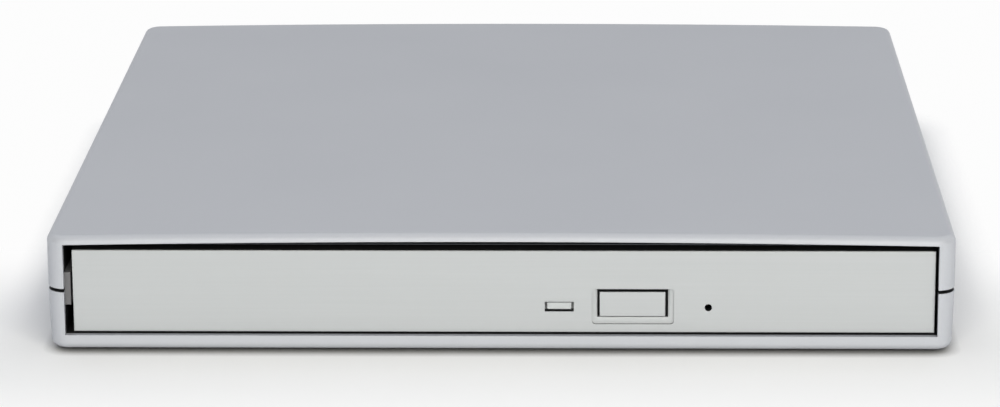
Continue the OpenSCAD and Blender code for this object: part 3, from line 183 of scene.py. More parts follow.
def box_form(low, high):
    bm = bmesh.new()
    add_box(bm, low, high)
    return bm


def round_off(bm, edges, radius, segments):
    bmesh.ops.bevel(
        bm, geom=edges, offset=radius, offset_type="OFFSET", segments=segments,
        profile=0.5, affect="EDGES", clamp_overlap=True, material=-1,
    )


def round_edges(bm, chosen, radius, segments):
    round_off(bm, [e for e in bm.edges if chosen(e.verts[0].co, e.verts[1].co)], radius, segments)


def both_at(axis, place):
    return lambda a, b: abs(a[axis] - place) < NEAR and abs(b[axis] - place) < NEAR


def along(axis):
    others = [i for i in range(3) if i != axis]
    return lambda a, b: all(abs(a[i] - b[i]) < NEAR for i in others)


def slice_at(bm, axis, place):
    normal = [0, 0, 0]
    normal[axis] = 1
    point = [0, 0, 0]
    point[axis] = place
    bmesh.ops.bisect_plane(
        bm, geom=bm.verts[:] + bm.edges[:] + bm.faces[:], dist=NEAR / 10,
        plane_co=point, plane_no=normal,
    )


def crown(bm, reach, rise, lowest, steps=12):
    """Raises what lies above a height in a shallow arch from side to side."""
    for i in range(-steps, steps + 1):
        slice_at(bm, 0, reach * i / steps)
    for v in bm.verts:
        if v.co.z > lowest - NEAR:
            v.co.z += rise * (1 - min(abs(v.co.x) / reach, 1) ** 2)


def scratch_object(bm):
    mesh = bpy.data.meshes.new("scratch")
    bmesh.ops.recalc_face_normals(bm, faces=bm.faces)
    bm.to_mesh(mesh)
    bm.free()
    obj = bpy.data.objects.new("scratch", mesh)
    bpy.context.collection.objects.link(obj)
    return obj


def shaped(base, joins=None, cuts=None):
    """The base form with other closed forms joined on and then others cut away."""
    host = scratch_object(base)
    tools = []
    for form, operation in ((joins, "UNION"), (cuts, "DIFFERENCE")):
        if form is None:
            continue
        tool = scratch_object(form)
        step = host.modifiers.new(operation, "BOOLEAN")
        step.object = tool
        step.operation = operation
        step.solver = "EXACT"
        step.use_self = True
        tools.append(tool)
    bpy.context.view_layer.update()
    whole = host.evaluated_get(bpy.context.evaluated_depsgraph_get())
    bm = bmesh.new()
    bm.from_mesh(whole.to_mesh())
    whole.to_mesh_clear()
    for obj in tools + [host]:
        mesh = obj.data
        bpy.data.objects.remove(obj)
        bpy.data.meshes.remove(mesh)
    bmesh.ops.remove_doubles(bm, verts=bm.verts, dist=NEAR / 20)
    bmesh.ops.dissolve_degenerate(bm, dist=NEAR / 20, edges=bm.edges)
    return bm


def make_piece(name, bm, finishes, sharp=SHARP):
    bmesh.ops.scale(bm, vec=(MM, MM, MM), verts=bm.verts)
    bmesh.ops.recalc_face_normals(bm, faces=bm.faces)
    mesh = bpy.data.meshes.new(name)
    bm.to_mesh(mesh)
    bm.free()
    mesh.shade_smooth()
    mesh.set_sharp_from_angle(angle=math.radians(sharp))
    for item in finishes:
        mesh.materials.append(item)
    obj = bpy.data.objects.new(name, mesh)
    bpy.context.collection.objects.link(obj)
    return obj


def place_piece(obj, body, node):
    level = obj.modifiers.new("flat_faces", "WEIGHTED_NORMAL")
    level.keep_sharp = True
    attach(obj, body)
    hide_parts(node)
    return obj


# Finishes

def new_group(name, inputs, outputs):
    tree = bpy.data.node_groups.new(name, "ShaderNodeTree")
    for label, kind, value in inputs:
        socket = tree.interface.new_socket(label, in_out="INPUT", socket_type=kind)
        socket.default_value = value
    for label, kind in outputs:
        tree.interface.new_socket(label, in_out="OUTPUT", socket_type=kind)
    return tree, tree.nodes.new("NodeGroupInput"), tree.nodes.new("NodeGroupOutput")


def math_node(tree, operation, *values):
    made = tree.nodes.new("ShaderNodeMath")
    made.operation = operation
    for i, value in enumerate(values):
        if isinstance(value, (int, float)):
            made.inputs[i].default_value = value
        else:
            tree.links.new(value, made.inputs[i])
    return made.outputs[0]


def noise_at(tree, place, scale, detail):
    made = tree.nodes.new("ShaderNodeTexNoise")
    made.inputs["Scale"].default_value = scale
    made.inputs["Detail"].default_value = detail
    tree.links.new(place, made.inputs["Vector"])
    return made.outputs["Fac"]


def make_grain():
    """Fine grain, drawn out by its density along each axis, over a broad mottle."""
    tree, given, out = new_group(
        "surface_grain",
        (
            ("Colour", "NodeSocketColor", (0.5, 0.5, 0.5, 1)),
            ("Contrast", "NodeSocketFloat", 0.1),
            ("Mottle", "NodeSocketFloat", 0.05),
            ("Density", "NodeSocketVector", (1000, 1000, 1000)),
            ("Roughness", "NodeSocketFloat", 0.5),
            ("Spread", "NodeSocketFloat", 0.1),
        ),
        (("Colour", "NodeSocketColor"), ("Roughness", "NodeSocketFloat"), ("Height", "NodeSocketFloat")),
    )
    where = tree.nodes.new("ShaderNodeTexCoord").outputs["Object"]
    stretch = tree.nodes.new("ShaderNodeVectorMath")
    stretch.operation = "MULTIPLY"
    tree.links.new(where, stretch.inputs[0])
    tree.links.new(given.outputs["Density"], stretch.inputs[1])
    fine = math_node(tree, "SUBTRACT", noise_at(tree, stretch.outputs[0], 1.0, 3.0), 0.5)
    broad = math_node(tree, "SUBTRACT", noise_at(tree, where, 45.0, 2.0), 0.5)
    shade = math_node(tree, "MULTIPLY_ADD", fine, given.outputs["Contrast"], 1.0)
    shade = math_node(tree, "MULTIPLY_ADD", broad, given.outputs["Mottle"], shade)
    tint = tree.nodes.new("ShaderNodeVectorMath")
    tint.operation = "SCALE"
    tree.links.new(given.outputs["Colour"], tint.inputs[0])
    tree.links.new(shade, tint.inputs["Scale"])
    both = math_node(tree, "ADD", fine, broad)
    rough = math_node(tree, "MULTIPLY_ADD", both, given.outputs["Spread"], given.outputs["Roughness"])
    tree.links.new(tint.outputs[0], out.inputs["Colour"])
    tree.links.new(rough, out.inputs["Roughness"])
    tree.links.new(fine, out.inputs["Height"])
    return tree


GRAIN = make_grain()


def finish(
    name, colour, roughness, density, contrast=0.12, mottle=0.06, spread=0.12, depth=0.004, **sockets
):
    """A finish whose colour, roughness and relief follow the grain; depth is the relief in millimetres."""
    material = bpy.data.materials.new(name)
    material.use_nodes = True
    tree = material.node_tree
    shader = tree.nodes["Principled BSDF"]
    grain = tree.nodes.new("ShaderNodeGroup")
    grain.node_tree = GRAIN
    grain.inputs["Colour"].default_value = (*colour, 1)
    grain.inputs["Contrast"].default_value = contrast
    grain.inputs["Mottle"].default_value = mottle
    grain.inputs["Density"].default_value = density if isinstance(density, tuple) else (density,) * 3
    grain.inputs["Roughness"].default_value = roughness
    grain.inputs["Spread"].default_value = spread
    relief = tree.nodes.new("ShaderNodeBump")
    relief.inputs["Strength"].default_value = 1.0
    relief.inputs["Distance"].default_value = depth * MM
    tree.links.new(grain.outputs["Colour"], shader.inputs["Base Color"])
    tree.links.new(grain.outputs["Roughness"], shader.inputs["Roughness"])
    tree.links.new(grain.outputs["Height"], relief.inputs["Height"])
    tree.links.new(relief.outputs["Normal"], shader.inputs["Normal"])
    for label, value in sockets.items():
        shader.inputs[label.replace("_", " ")].default_value = value
    return material


SILVER = finish(
    "silver_paint", (0.41, 0.426, 0.466), 0.42, 5200.0, contrast=0.10, mottle=0.012, spread=0.06,
    depth=0.002, Metallic=0.3,
)
# Near-black finish of the unpainted inside, made darker than the plastic as painted shade for the deep gaps,
# seam and recesses it covers
INSIDE = finish("dark_inside_and_shade", (0.012, 0.012, 0.013), 0.6, 1400.0, depth=0.006)
# Mid-dark grey on the snap tabs: painted shade for tabs that sit in the shaded gap beside the bezel
TAB_SHADE_GREY = finish("tab_shade_grey", (0.10, 0.10, 0.107), 0.55, 1400.0, depth=0.004)
BEZEL_GREY = finish(
    "bezel_grey", (0.366, 0.383, 0.402), 0.40, (28.0, 900.0, 3000.0), contrast=0.07, mottle=0.02,
    spread=0.10, depth=0.0025, Metallic=0.2,
)
FINISHES = {
    "clear_pipe": finish(
        "milky_pipe", (0.40, 0.42, 0.44), 0.28, 900.0, contrast=0.05, depth=0.001,
        Transmission_Weight=0.15, IOR=1.49,
    ),
    "black_rubber": finish(
        "black_rubber", (0.016, 0.016, 0.017), 0.78, 2600.0, contrast=0.3, depth=0.012
    ),
    "black_screw": finish("blackened_screw", (0.045, 0.045, 0.048), 0.42, 1800.0, Metallic=0.85),
    "steel_screw": finish("plated_screw", (0.62, 0.62, 0.63), 0.32, 2400.0, Metallic=1.0),
    "sheet_steel": finish(
        "sheet_steel", (0.56, 0.57, 0.58), 0.36, (90.0, 2200.0, 2200.0), contrast=0.16, mottle=0.16,
        Metallic=1.0,
    ),
    "circuit_board": finish(
        "board_green", (0.012, 0.10, 0.038), 0.38, 800.0, contrast=0.5, mottle=0.3, depth=0.01
    ),
    "chip_black": finish("chip_black", (0.018, 0.018, 0.02), 0.55, 3000.0, contrast=0.3),
    "board_parts": finish("part_beige", (0.42, 0.33, 0.22), 0.45, 1500.0),
    "connector_black": finish("socket_black", (0.016, 0.016, 0.017), 0.5, 1600.0, contrast=0.25),
    "connector_cream": finish("socket_cream", (0.70, 0.64, 0.50), 0.5, 1600.0),
    "usb_steel": finish("socket_steel", (0.66, 0.66, 0.67), 0.28, (2200.0, 120.0, 2200.0), Metallic=1.0),
    "black_plastic": finish(
        "tray_black", (0.014, 0.014, 0.0155), 0.52, 2100.0, contrast=0.35, mottle=0.2, depth=0.010
    ),
    "rail_steel": finish(
        "rail_steel", (0.64, 0.645, 0.65), 0.26, (2600.0, 60.0, 2600.0), contrast=0.2, Metallic=1.0
    ),
    "spring_steel": finish("spring_steel", (0.55, 0.555, 0.57), 0.3, 2000.0, Metallic=1.0),
    "ribbon_film": finish(
        "ribbon_film", (0.62, 0.62, 0.58), 0.4, (1900.0, 6.0, 6.0), contrast=0.7, depth=0.02
    ),
    "cast_metal": finish(
        "cast_metal", (0.34, 0.345, 0.355), 0.5, 1300.0, contrast=0.25, depth=0.015, Metallic=0.9
    ),
    "motor_can": finish("motor_can", (0.60, 0.605, 0.615), 0.3, (300.0, 300.0, 2600.0), Metallic=1.0),
    "copper_coil": finish(
        "copper_coil", (0.46, 0.18, 0.06), 0.35, (400.0, 400.0, 3600.0), contrast=0.6, Metallic=0.8
    ),
    "dark_plate": finish(
        "dark_plate", (0.10, 0.10, 0.106), 0.42, (160.0, 1800.0, 1800.0), contrast=0.3, Metallic=0.6
    ),
    "cream_plastic": finish("latch_cream", (0.62, 0.58, 0.48), 0.48, 1500.0),
    "led_white": finish("light_body", (0.72, 0.72, 0.68), 0.35, 1500.0),
    "lens_glass": finish(
        "lens_glass", (0.55, 0.62, 0.86), 0.06, 300.0, contrast=0.08, spread=0.02, depth=0.0002,
        Transmission_Weight=0.7, IOR=1.52,
    ),
}
NODE_FINISH = {
    "rubber_dampers": "black_rubber", "disc_pad": "black_rubber", "case_screws": "black_screw",
    "bridge_screws": "steel_screw", "cover_screws": "steel_screw", "board_screws": "steel_screw",
    "shield_screws": "steel_screw", "traverse_screws": "steel_screw", "latch_clip": "steel_screw",
    "latch_catch": "steel_screw", "drive_pan": "sheet_steel", "drive_cover": "sheet_steel",
    "tray_shield": "sheet_steel", "bridge_board": "circuit_board", "main_board": "circuit_board",
    "front_board": "circuit_board", "bridge_chip": "chip_black", "main_chips": "chip_black",
    "eject_switch": "chip_black", "bridge_parts": "board_parts", "sata_socket": "connector_black",
    "sata_plug": "connector_black", "usb_tongue": "connector_black", "ribbon_socket": "connector_cream",
    "tray_socket": "connector_cream", "usb_socket": "usb_steel", "tray": "black_plastic",
    "left_rail_guide": "black_plastic", "right_rail_guide": "black_plastic", "turntable": "black_plastic",
    "lens_holder": "black_plastic", "left_rail": "rail_steel", "right_rail": "rail_steel",
    "guide_rods": "rail_steel", "lead_screw": "rail_steel", "eject_spring": "spring_steel",
    "latch_spring": "spring_steel", "hub_claws": "spring_steel", "traverse_base": "cast_metal",
    "pickup_sled": "cast_metal", "sled_motor": "motor_can", "spindle_rotor": "motor_can",
    "spindle_stator": "copper_coil", "latch_solenoid": "copper_coil", "traverse_cover": "dark_plate",
    "latch_lever": "cream_plastic", "sled_nut": "cream_plastic", "indicator_led": "led_white",
    "objective_lens": "lens_glass",
}


def crease_group():
    """Smooth shading that breaks at sharp edges, for the nodes of the frame."""
    tree = bpy.data.node_groups.new("crease_by_angle", "GeometryNodeTree")
    tree.interface.new_socket("Mesh", in_out="INPUT", socket_type="NodeSocketGeometry")
    tree.interface.new_socket("Mesh", in_out="OUTPUT", socket_type="NodeSocketGeometry")
    given = tree.nodes.new("NodeGroupInput")
    out = tree.nodes.new("NodeGroupOutput")
    angle = tree.nodes.new("GeometryNodeInputMeshEdgeAngle")
    sharp = tree.nodes.new("FunctionNodeCompare")
    sharp.operation = "GREATER_THAN"
    sharp.inputs["B"].default_value = math.radians(SHARP)
    faces = tree.nodes.new("GeometryNodeSetShadeSmooth")
    faces.domain = "FACE"
    edges = tree.nodes.new("GeometryNodeSetShadeSmooth")
    edges.domain = "EDGE"
    edges.inputs["Shade Smooth"].default_value = False
    tree.links.new(angle.outputs["Unsigned Angle"], sharp.inputs["A"])
    tree.links.new(sharp.outputs["Result"], edges.inputs["Selection"])
    tree.links.new(given.outputs["Mesh"], faces.inputs["Geometry"])
    tree.links.new(faces.outputs["Geometry"], edges.inputs["Geometry"])
    tree.links.new(edges.outputs["Geometry"], out.inputs["Mesh"])
    return tree


def dress_node(name, slot, crease):
    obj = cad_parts[name]
    obj.data.materials.clear()
    obj.data.materials.append(FINISHES[slot])
    join = obj.modifiers.new("join", "WELD")
    join.merge_threshold = 0.002 * MM
    flat = obj.modifiers.new("flat", "DECIMATE")
    flat.decimate_type = "DISSOLVE"
    flat.angle_limit = math.radians(0.5)
    soft = obj.modifiers.new("soft_edges", "BEVEL")
    soft.width = 0.12 * MM
    soft.segments = 2
    soft.limit_method = "ANGLE"
    soft.angle_limit = math.radians(40)
    shade = obj.modifiers.new("crease", "NODES")
    shade.node_group = crease


# Pieces

def case_form(low, high, rounded, edge_r):
    bm = box_form((-HALF_W, -HALF_D, low), (HALF_W, HALF_D, high))
    round_edges(bm, along(2), CORNER_R, 10)
    round_edges(bm, both_at(2, rounded), edge_r, 8)
    return bm


def case_hollow():
    bm = box_form((-INSIDE_HALF, -HALF_D - 2 * CUT, INSIDE_FLOOR), (INSIDE_HALF, INSIDE_REAR, CEILING))
    crown(bm, INSIDE_HALF, ARCH, CEILING)
    return bm


def is_inside(point):
    """True for a place on the sides of the hollow, behind the painted strip at its mouth."""
    return (
        abs(point.x) < INSIDE_HALF + NEAR
        and PAINTED_TO - NEAR < point.y < INSIDE_REAR + NEAR
        and INSIDE_FLOOR - NEAR < point.z < CEILING + ARCH + NEAR
    )


def paint_inside(bm):
    """Gives the faces of the hollow, the seam and the tabs their own finishes: the dark inside finish, for
    unpainted plastic and as painted shade in these deep places, and the tab grey as painted shade.
    """
    hollow = [f for f in bm.faces if is_inside(f.calc_center_median())]
    around = {v for f in hollow for v in f.verts} | {e for f in hollow for e in f.edges}
    bmesh.ops.bisect_plane(
        bm, geom=[*around, *hollow], dist=NEAR / 10, plane_co=(0, PAINTED_TO, 0), plane_no=(0, 1, 0)
    )
    for face in bm.faces:
        middle = face.calc_center_median()
        if on_tab(middle):
            face.material_index = 2
        elif is_inside(middle) or in_seam(middle):
            face.material_index = 1


def in_seam(point):
    """True for a place between the mating faces of the two halves, which the paint doesn't reach; their dark
    finish is also painted shade for the deep shade in the seam.
    """
    return BASE_TOP - NEAR < point.z < LID_BOTTOM + NEAR


def from_corner(point):
    """Centre of the rounding nearest to a place in plan, and the step from it to the place."""
    centre = Vector((
        max(-HALF_W + CORNER_R, min(HALF_W - CORNER_R, point.x)),
        max(-HALF_D + CORNER_R, min(HALF_D - CORNER_R, point.y)),
    ))
    return centre, point.xy - centre


def on_outer_ring(point):
    """True for a place on the upright outer walls of the case."""
    return from_corner(point)[1].length > CORNER_R - DRAFT - NEAR


def on_tab(point):
    """True for a place on a snap tab, off the wall that carries it."""
    return TAB_Z[0] - NEAR < point.z < TAB_Z[1] + NEAR and any(
        INSIDE_HALF - thick - NEAR < side * point.x < INSIDE_HALF - NEAR
        and y - NEAR < point.y < y + TAB_L + NEAR
        for side, y, thick in TAB_PLACES
    )


def soften_seam(bm, height):
    level = both_at(2, height)
    round_edges(
        bm, lambda a, b: level(a, b) and all(on_outer_ring(p) for p in (a, b, (a + b) / 2)), SEAM_EASE, 2
    )


def ease_mouth(bm, width):
    """Breaks the edge between the front of the case and its hollow."""
    front = both_at(1, -HALF_D)

    def on_mouth(point):
        return abs(point.x) < INSIDE_HALF + NEAR and INSIDE_FLOOR - NEAR < point.z < CEILING + ARCH + NEAR

    edges = [
        e for e in bm.edges
        if front(e.verts[0].co, e.verts[1].co) and all(on_mouth(v.co) for v in e.verts)
        and len(e.link_faces) == 2 and e.calc_face_angle() > 1.0
    ]
    round_off(bm, edges, width, 2)


def add_ribs(bm, places, low, high):
    for x in places:
        middle = DRIVE_X + x
        add_box(bm, (middle - RIB_HALF_T, -RIB_REACH, low), (middle + RIB_HALF_T, RIB_REACH, high))


def make_lid():
    form = case_form(LID_BOTTOM, TOP, TOP, TOP_EDGE_R)
    crown(form, HALF_W - CORNER_R, CROWN, TOP - TOP_EDGE_R)
    shell = shaped(form, cuts=case_hollow())
    fittings = bmesh.new()
    for side, y, thick in TAB_PLACES:
        inner = side * (INSIDE_HALF - thick)
        blade = (INSIDE_HALF - TAB_OFF_WALL, TAB_Z[0])
        root = (INSIDE_HALF + TAB_ROOT, LID_BOTTOM + TAB_ROOT_RISE)
        for outer, low in (blade, root):
            xs = sorted((inner, side * outer))
            add_box(fittings, (xs[0], y, low), (xs[1], y + TAB_L, TAB_Z[1]))
    add_ribs(fittings, LID_RIBS, DRIVE_TOP, ROOT_IN_LID)
    holes = bmesh.new()
    for x, y in SCREW_PLACES:
        add_rod(fittings, BOSS_R, (x, y, LID_BOTTOM), (x, y, ROOT_IN_LID))
        add_rod(holes, PILOT_R, (x, y, BASE_TOP), (x, y, PILOT_TOP), 24)
    bm = shaped(shell, fittings, holes)
    ease_mouth(bm, LID_EASE)
    soften_seam(bm, LID_BOTTOM)
    paint_inside(bm)
    obj = make_piece("case_lid", bm, (SILVER, INSIDE, TAB_SHADE_GREY))
    return place_piece(obj, "case", "top_shell")


def make_base():
    form = case_form(UNDERSIDE, BASE_TOP, UNDERSIDE, BOTTOM_EDGE_R)
    straight = UNDERSIDE + BOTTOM_EDGE_R
    for v in form.verts:
        draw = DRAFT * min((BASE_TOP - v.co.z) / (BASE_TOP - straight), 1)
        centre, out = from_corner(v.co)
        v.co.xy = centre + out * (1 - draw / out.length)
    shell = shaped(form, cuts=case_hollow())
    tongue = shaped(
        box_form(
            (-INSIDE_HALF - TONGUE_T, TONGUE_FRONT, BASE_TOP - TONGUE_ROOT),
            (INSIDE_HALF + TONGUE_T, INSIDE_REAR + TONGUE_T, TONGUE_TOP),
        ),
        cuts=box_form((-INSIDE_HALF, -HALF_D, 0), (INSIDE_HALF, INSIDE_REAR, TOP)),
    )
    shell = shaped(shell, tongue)
    fittings = bmesh.new()
    holes = bmesh.new()
    for x, y in SCREW_PLACES:
        add_rod(fittings, BOSS_R, (x, y, BOSS_FOOT), (x, y, TONGUE_TOP))
        add_rod(holes, SHANK_R, (x, y, 0), (x, y, TOP), 32)
        add_rod(holes, HEAD_R, (x, y, 0), (x, y, HEAD_TOP))
    for x in PEG_X:
        add_rod(fittings, PEG_R, (x, PEG_Y, ROOT_IN_FLOOR), (x, PEG_Y, PEG_TOP), 32)
        add_rod(fittings, PEG_SEAT_R, (x, PEG_Y, ROOT_IN_FLOOR), (x, PEG_Y, DRIVE_Z), 32)
    add_ribs(fittings, BASE_RIBS, ROOT_IN_FLOOR, DRIVE_Z)
    for x in POST_X:
        add_rod(fittings, POST_R, (x, POST_Y, ROOT_IN_FLOOR), (x, POST_Y, POST_TOP), 32)
        add_rod(holes, POST_HOLE_R, (x, POST_Y, POST_HOLE_Z[0]), (x, POST_Y, POST_HOLE_Z[1]), 24)
    for x, y in FOOT_PLACES:
        add_rod(holes, FOOT_R + FOOT_GAP, (x, y, 0), (x, y, FOOT_TOP), 64)
    left, right, bottom, top = SOCKET_CUT
    add_box(holes, (left, INSIDE_REAR - CUT, bottom), (right, HALF_D + CUT, top))
    bm = shaped(shell, fittings, holes)
    ease_mouth(bm, SILL_EASE)
    soften_seam(bm, BASE_TOP)
    paint_inside(bm)
    obj = make_piece("case_base", bm, (SILVER, INSIDE))
    return place_piece(obj, "case", "bottom_shell")


def make_bezel():
    bm = box_form((BEZEL_LEFT, BEZEL_FRONT, DRIVE_Z), (BEZEL_RIGHT, BEZEL_BACK, BEZEL_TOP))
    round_edges(bm, both_at(1, BEZEL_FRONT), 0.22, 3)
    plate_back = BEZEL_FRONT + BEZEL_PLATE
    cuts = box_form(
        (BEZEL_LEFT + BEZEL_LIP, plate_back, DRIVE_Z + BEZEL_LIP),
        (BEZEL_RIGHT - BEZEL_LIP, BEZEL_BACK + CUT, BEZEL_TOP - BEZEL_LIP),
    )
    left, right, bottom, top = BUTTON_WINDOW
    add_box(cuts, (left, BEZEL_FRONT - CUT, bottom), (right, plate_back + CUT, top))
    x, z = LIGHT
    w, h = LIGHT_HALF
    beside, below, above = LIGHT_SLOT
    add_box(
        cuts, (x - w - beside, BEZEL_FRONT - CUT, z - h - below),
        (x + w + beside, plate_back + CUT, z + h + above),
    )
    x, z = RELEASE
    add_rod(cuts, RELEASE_R, (x, BEZEL_FRONT - CUT, z), (x, plate_back + CUT, z), 32)
    hooks = bmesh.new()
    for x in HOOK_X:
        add_box(
            hooks, (DRIVE_X + x - HOOK_HALF_W, BEZEL_FRONT + BEZEL_PLATE / 2, DRIVE_Z + HOOK_Z[0]),
            (DRIVE_X + x + HOOK_HALF_W, BEZEL_BACK + HOOK_REACH, DRIVE_Z + HOOK_Z[1]),
        )
    bm = shaped(bm, cuts=cuts)
    bm = shaped(bm, hooks, button_surround())
    # Faces that don't face the front take the dark finish: painted shade for the gaps round the bezel and the
    # window's walls, over the unpainted moulding
    for face in bm.faces:
        if face.normal.y > -0.12:
            face.material_index = 1
    obj = make_piece("tray_front", bm, (BEZEL_GREY, INSIDE))
    return place_piece(obj, "tray", "bezel")


def button_surround():
    """Sloping hollow round the button's window, with eased corners."""
    left, right, bottom, top = BUTTON_WINDOW
    low, high = BEZEL_FRONT - SURROUND_DEPTH, BEZEL_FRONT + SURROUND_DEPTH
    bm = box_form((left, low, bottom), (right, high, top))
    outer_left, outer_right, outer_bottom, outer_top = BUTTON_SURROUND
    for v in bm.verts:
        if v.co.y < BEZEL_FRONT:
            v.co.x += 2 * (outer_left - left if v.co.x < BUTTON[0] else outer_right - right)
            v.co.z += 2 * (outer_bottom - bottom if v.co.z < BUTTON[1] else outer_top - top)
    round_edges(bm, lambda a, b: abs(a.y - b.y) > NEAR, 0.35, 3)
    line = box_form(
        (outer_left - SURROUND_LINE, BEZEL_FRONT - CUT, outer_bottom - SURROUND_LINE),
        (outer_right + SURROUND_LINE, BEZEL_FRONT + 2 * SURROUND_LINE, outer_top),
    )
    round_edges(line, along(1), 0.5, 4)
    return shaped(bm, joins=line)


def make_button():
    x, z = BUTTON
    w, h = BUTTON_HALF
    flange_y = BEZEL_FRONT + BEZEL_PLATE + 0.2
    bm = box_form((x - w, BEZEL_FRONT, z - h), (x + w, flange_y + FLANGE_T, z + h))
    round_edges(bm, both_at(1, BEZEL_FRONT), 0.18, 3)
    behind = bmesh.new()
    rim = 0.8
    add_box(behind, (x - w - rim, flange_y, z - h - rim), (x + w + rim, flange_y + FLANGE_T, z + h + rim))
    plunger_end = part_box("eject_button")[1].y / MM
    add_box(behind, (x - 1.5, flange_y + 0.1, z - 1), (x + 1.5, plunger_end, z + 1))
    bm = shaped(bm, behind)
    # Faces behind the plate take the dark finish: painted shade on the button's sides, whose plastic is the
    # same grey throughout
    for face in bm.faces:
        if face.calc_center_median().y > BEZEL_FRONT + BEZEL_PLATE / 2:
            face.material_index = 1
    obj = make_piece("eject_key", bm, (BEZEL_GREY, INSIDE))
    return place_piece(obj, "eject_button", "eject_button")


def make_light():
    x, z = LIGHT
    w, h = LIGHT_HALF
    low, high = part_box("light_pipe")
    flange_y = BEZEL_FRONT + BEZEL_PLATE + 0.05
    bm = box_form((x - w, low.y / MM, z - h), (x + w, flange_y + FLANGE_T, z + h))
    round_edges(bm, both_at(1, low.y / MM), 0.1, 3)
    behind = bmesh.new()
    rim = 0.6
    add_box(behind, (x - w - rim, flange_y, z - h - rim), (x + w + rim, flange_y + FLANGE_T, z + h + rim))
    stem = w * 2 / 3
    add_box(behind, (x - stem, flange_y + 0.1, z - h + NEAR), (x + stem, high.y / MM, z + h - NEAR))
    obj = make_piece("light_window", shaped(bm, behind), (FINISHES["clear_pipe"],))
    return place_piece(obj, "tray", "light_pipe")


def make_feet():
    """Turned feet with a shallow dish in the sole."""
    outline = (
        (0, 0.22), (2.0, 0.22), (2.3, 0.15), (2.5, 0.04), (2.7, 0.0), (3.4, 0.0), (3.72, 0.06), (3.92, 0.26),
        (4.0, 0.5), (4.0, FOOT_TOP), (0, FOOT_TOP),
    )
    bm = bmesh.new()
    for x, y in FOOT_PLACES:
        chain = [bm.verts.new((x + r, y, z)) for r, z in outline]
        edges = [bm.edges.new(pair) for pair in zip(chain, chain[1:])]
        bmesh.ops.spin(
            bm, geom=chain + edges, cent=(x, y, 0), axis=(0, 0, 1), angle=math.tau, steps=48, use_merge=True
        )
    bmesh.ops.remove_doubles(bm, verts=bm.verts, dist=NEAR / 10)
    obj = make_piece("rubber_foot_pads", bm, (FINISHES["black_rubber"],), sharp=50)
    return place_piece(obj, "case", "rubber_feet")


def make_ribbon():
    """Flat cable folded under the tray, with a lower run and an upper run."""
    low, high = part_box("ribbon_cable")
    left, right = low.x / MM, high.x / MM
    z_low, z_high = DRIVE_Z + 0.8, DRIVE_Z + 6.5
    bend_r = (z_high - z_low) / 2
    bend_y = -20.0
    entry_y, entry_z = 40.0, DRIVE_Z + 3.7
    line = [(entry_y - i * 0.5, entry_z) for i in range(9)]
    dip = z_low - entry_z
    line += [(entry_y - 4.5 - i * 0.5, entry_z + dip * (3 - 2 * i / 9) * (i / 9) ** 2) for i in range(10)]
    line += [(30 - i * 2.5, z_low) for i in range(21)]
    turn = 24
    z_middle = (z_low + z_high) / 2
    for i in range(1, turn + 1):
        angle = math.pi * i / turn
        line.append((bend_y - bend_r * math.sin(angle), z_middle - bend_r * math.cos(angle)))
    line += [(bend_y + i * 2.5, z_high) for i in range(1, 28)]
    line.append((high.y / MM, z_high))
    bm = bmesh.new()
    start = [bm.verts.new((x, *line[0])) for x in (left, right)]
    edge = bm.edges.new(start)
    for here, there in zip(line, line[1:]):
        made = bmesh.ops.extrude_edge_only(bm, edges=[edge])["geom"]
        fresh = [g for g in made if isinstance(g, bmesh.types.BMVert)]
        bmesh.ops.translate(bm, vec=(0, there[0] - here[0], there[1] - here[1]), verts=fresh)
        edge = next(g for g in made if isinstance(g, bmesh.types.BMEdge) and all(v in fresh for v in g.verts))
    bmesh.ops.solidify(bm, geom=bm.faces[:], thickness=0.18)
    obj = make_piece("tray_ribbon", bm, (FINISHES["ribbon_film"],))
    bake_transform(obj)
    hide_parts("ribbon_cable")
    return obj


# Floor, light and camera

FLOOR_WHITE = (0.90, 0.903, 0.913)
BACK_WHITE = 0.98
# Reach in metres and darkness of the shade where the object touches the floor and of the softer one round it
CONTACT_SHADE = 0.0021
CONTACT_DARK = 0.69
NEAR_SHADE = 0.012
NEAR_DARK = 0.18


def seen_directly(tree, mirrored=1.0):
    """1 for what is seen straight on, in a shiny piece or through a clear one, 0 for what gives light."""
    path = tree.nodes.new("ShaderNodeLightPath")
    shiny = math_node(tree, "MULTIPLY", path.outputs["Is Glossy Ray"], mirrored)
    clear = math_node(tree, "MAXIMUM", shiny, path.outputs["Is Transmission Ray"])
    return math_node(tree, "MAXIMUM", path.outputs["Is Camera Ray"], clear)


def ramp_node(tree, value, start, end):
    ramp = tree.nodes.new("ShaderNodeMapRange")
    ramp.interpolation_type = "SMOOTHSTEP"
    ramp.inputs["From Min"].default_value = start
    ramp.inputs["From Max"].default_value = end
    tree.links.new(value, ramp.inputs["Value"])
    return ramp.outputs["Result"]


def closeness(tree, distance):
    """1 where the floor touches the object, falling to 0 within a distance of it."""
    open_part = tree.nodes.new("ShaderNodeAmbientOcclusion")
    open_part.samples = 8
    open_part.inputs["Distance"].default_value = distance
    return math_node(tree, "SUBTRACT", 1.0, open_part.outputs["AO"])


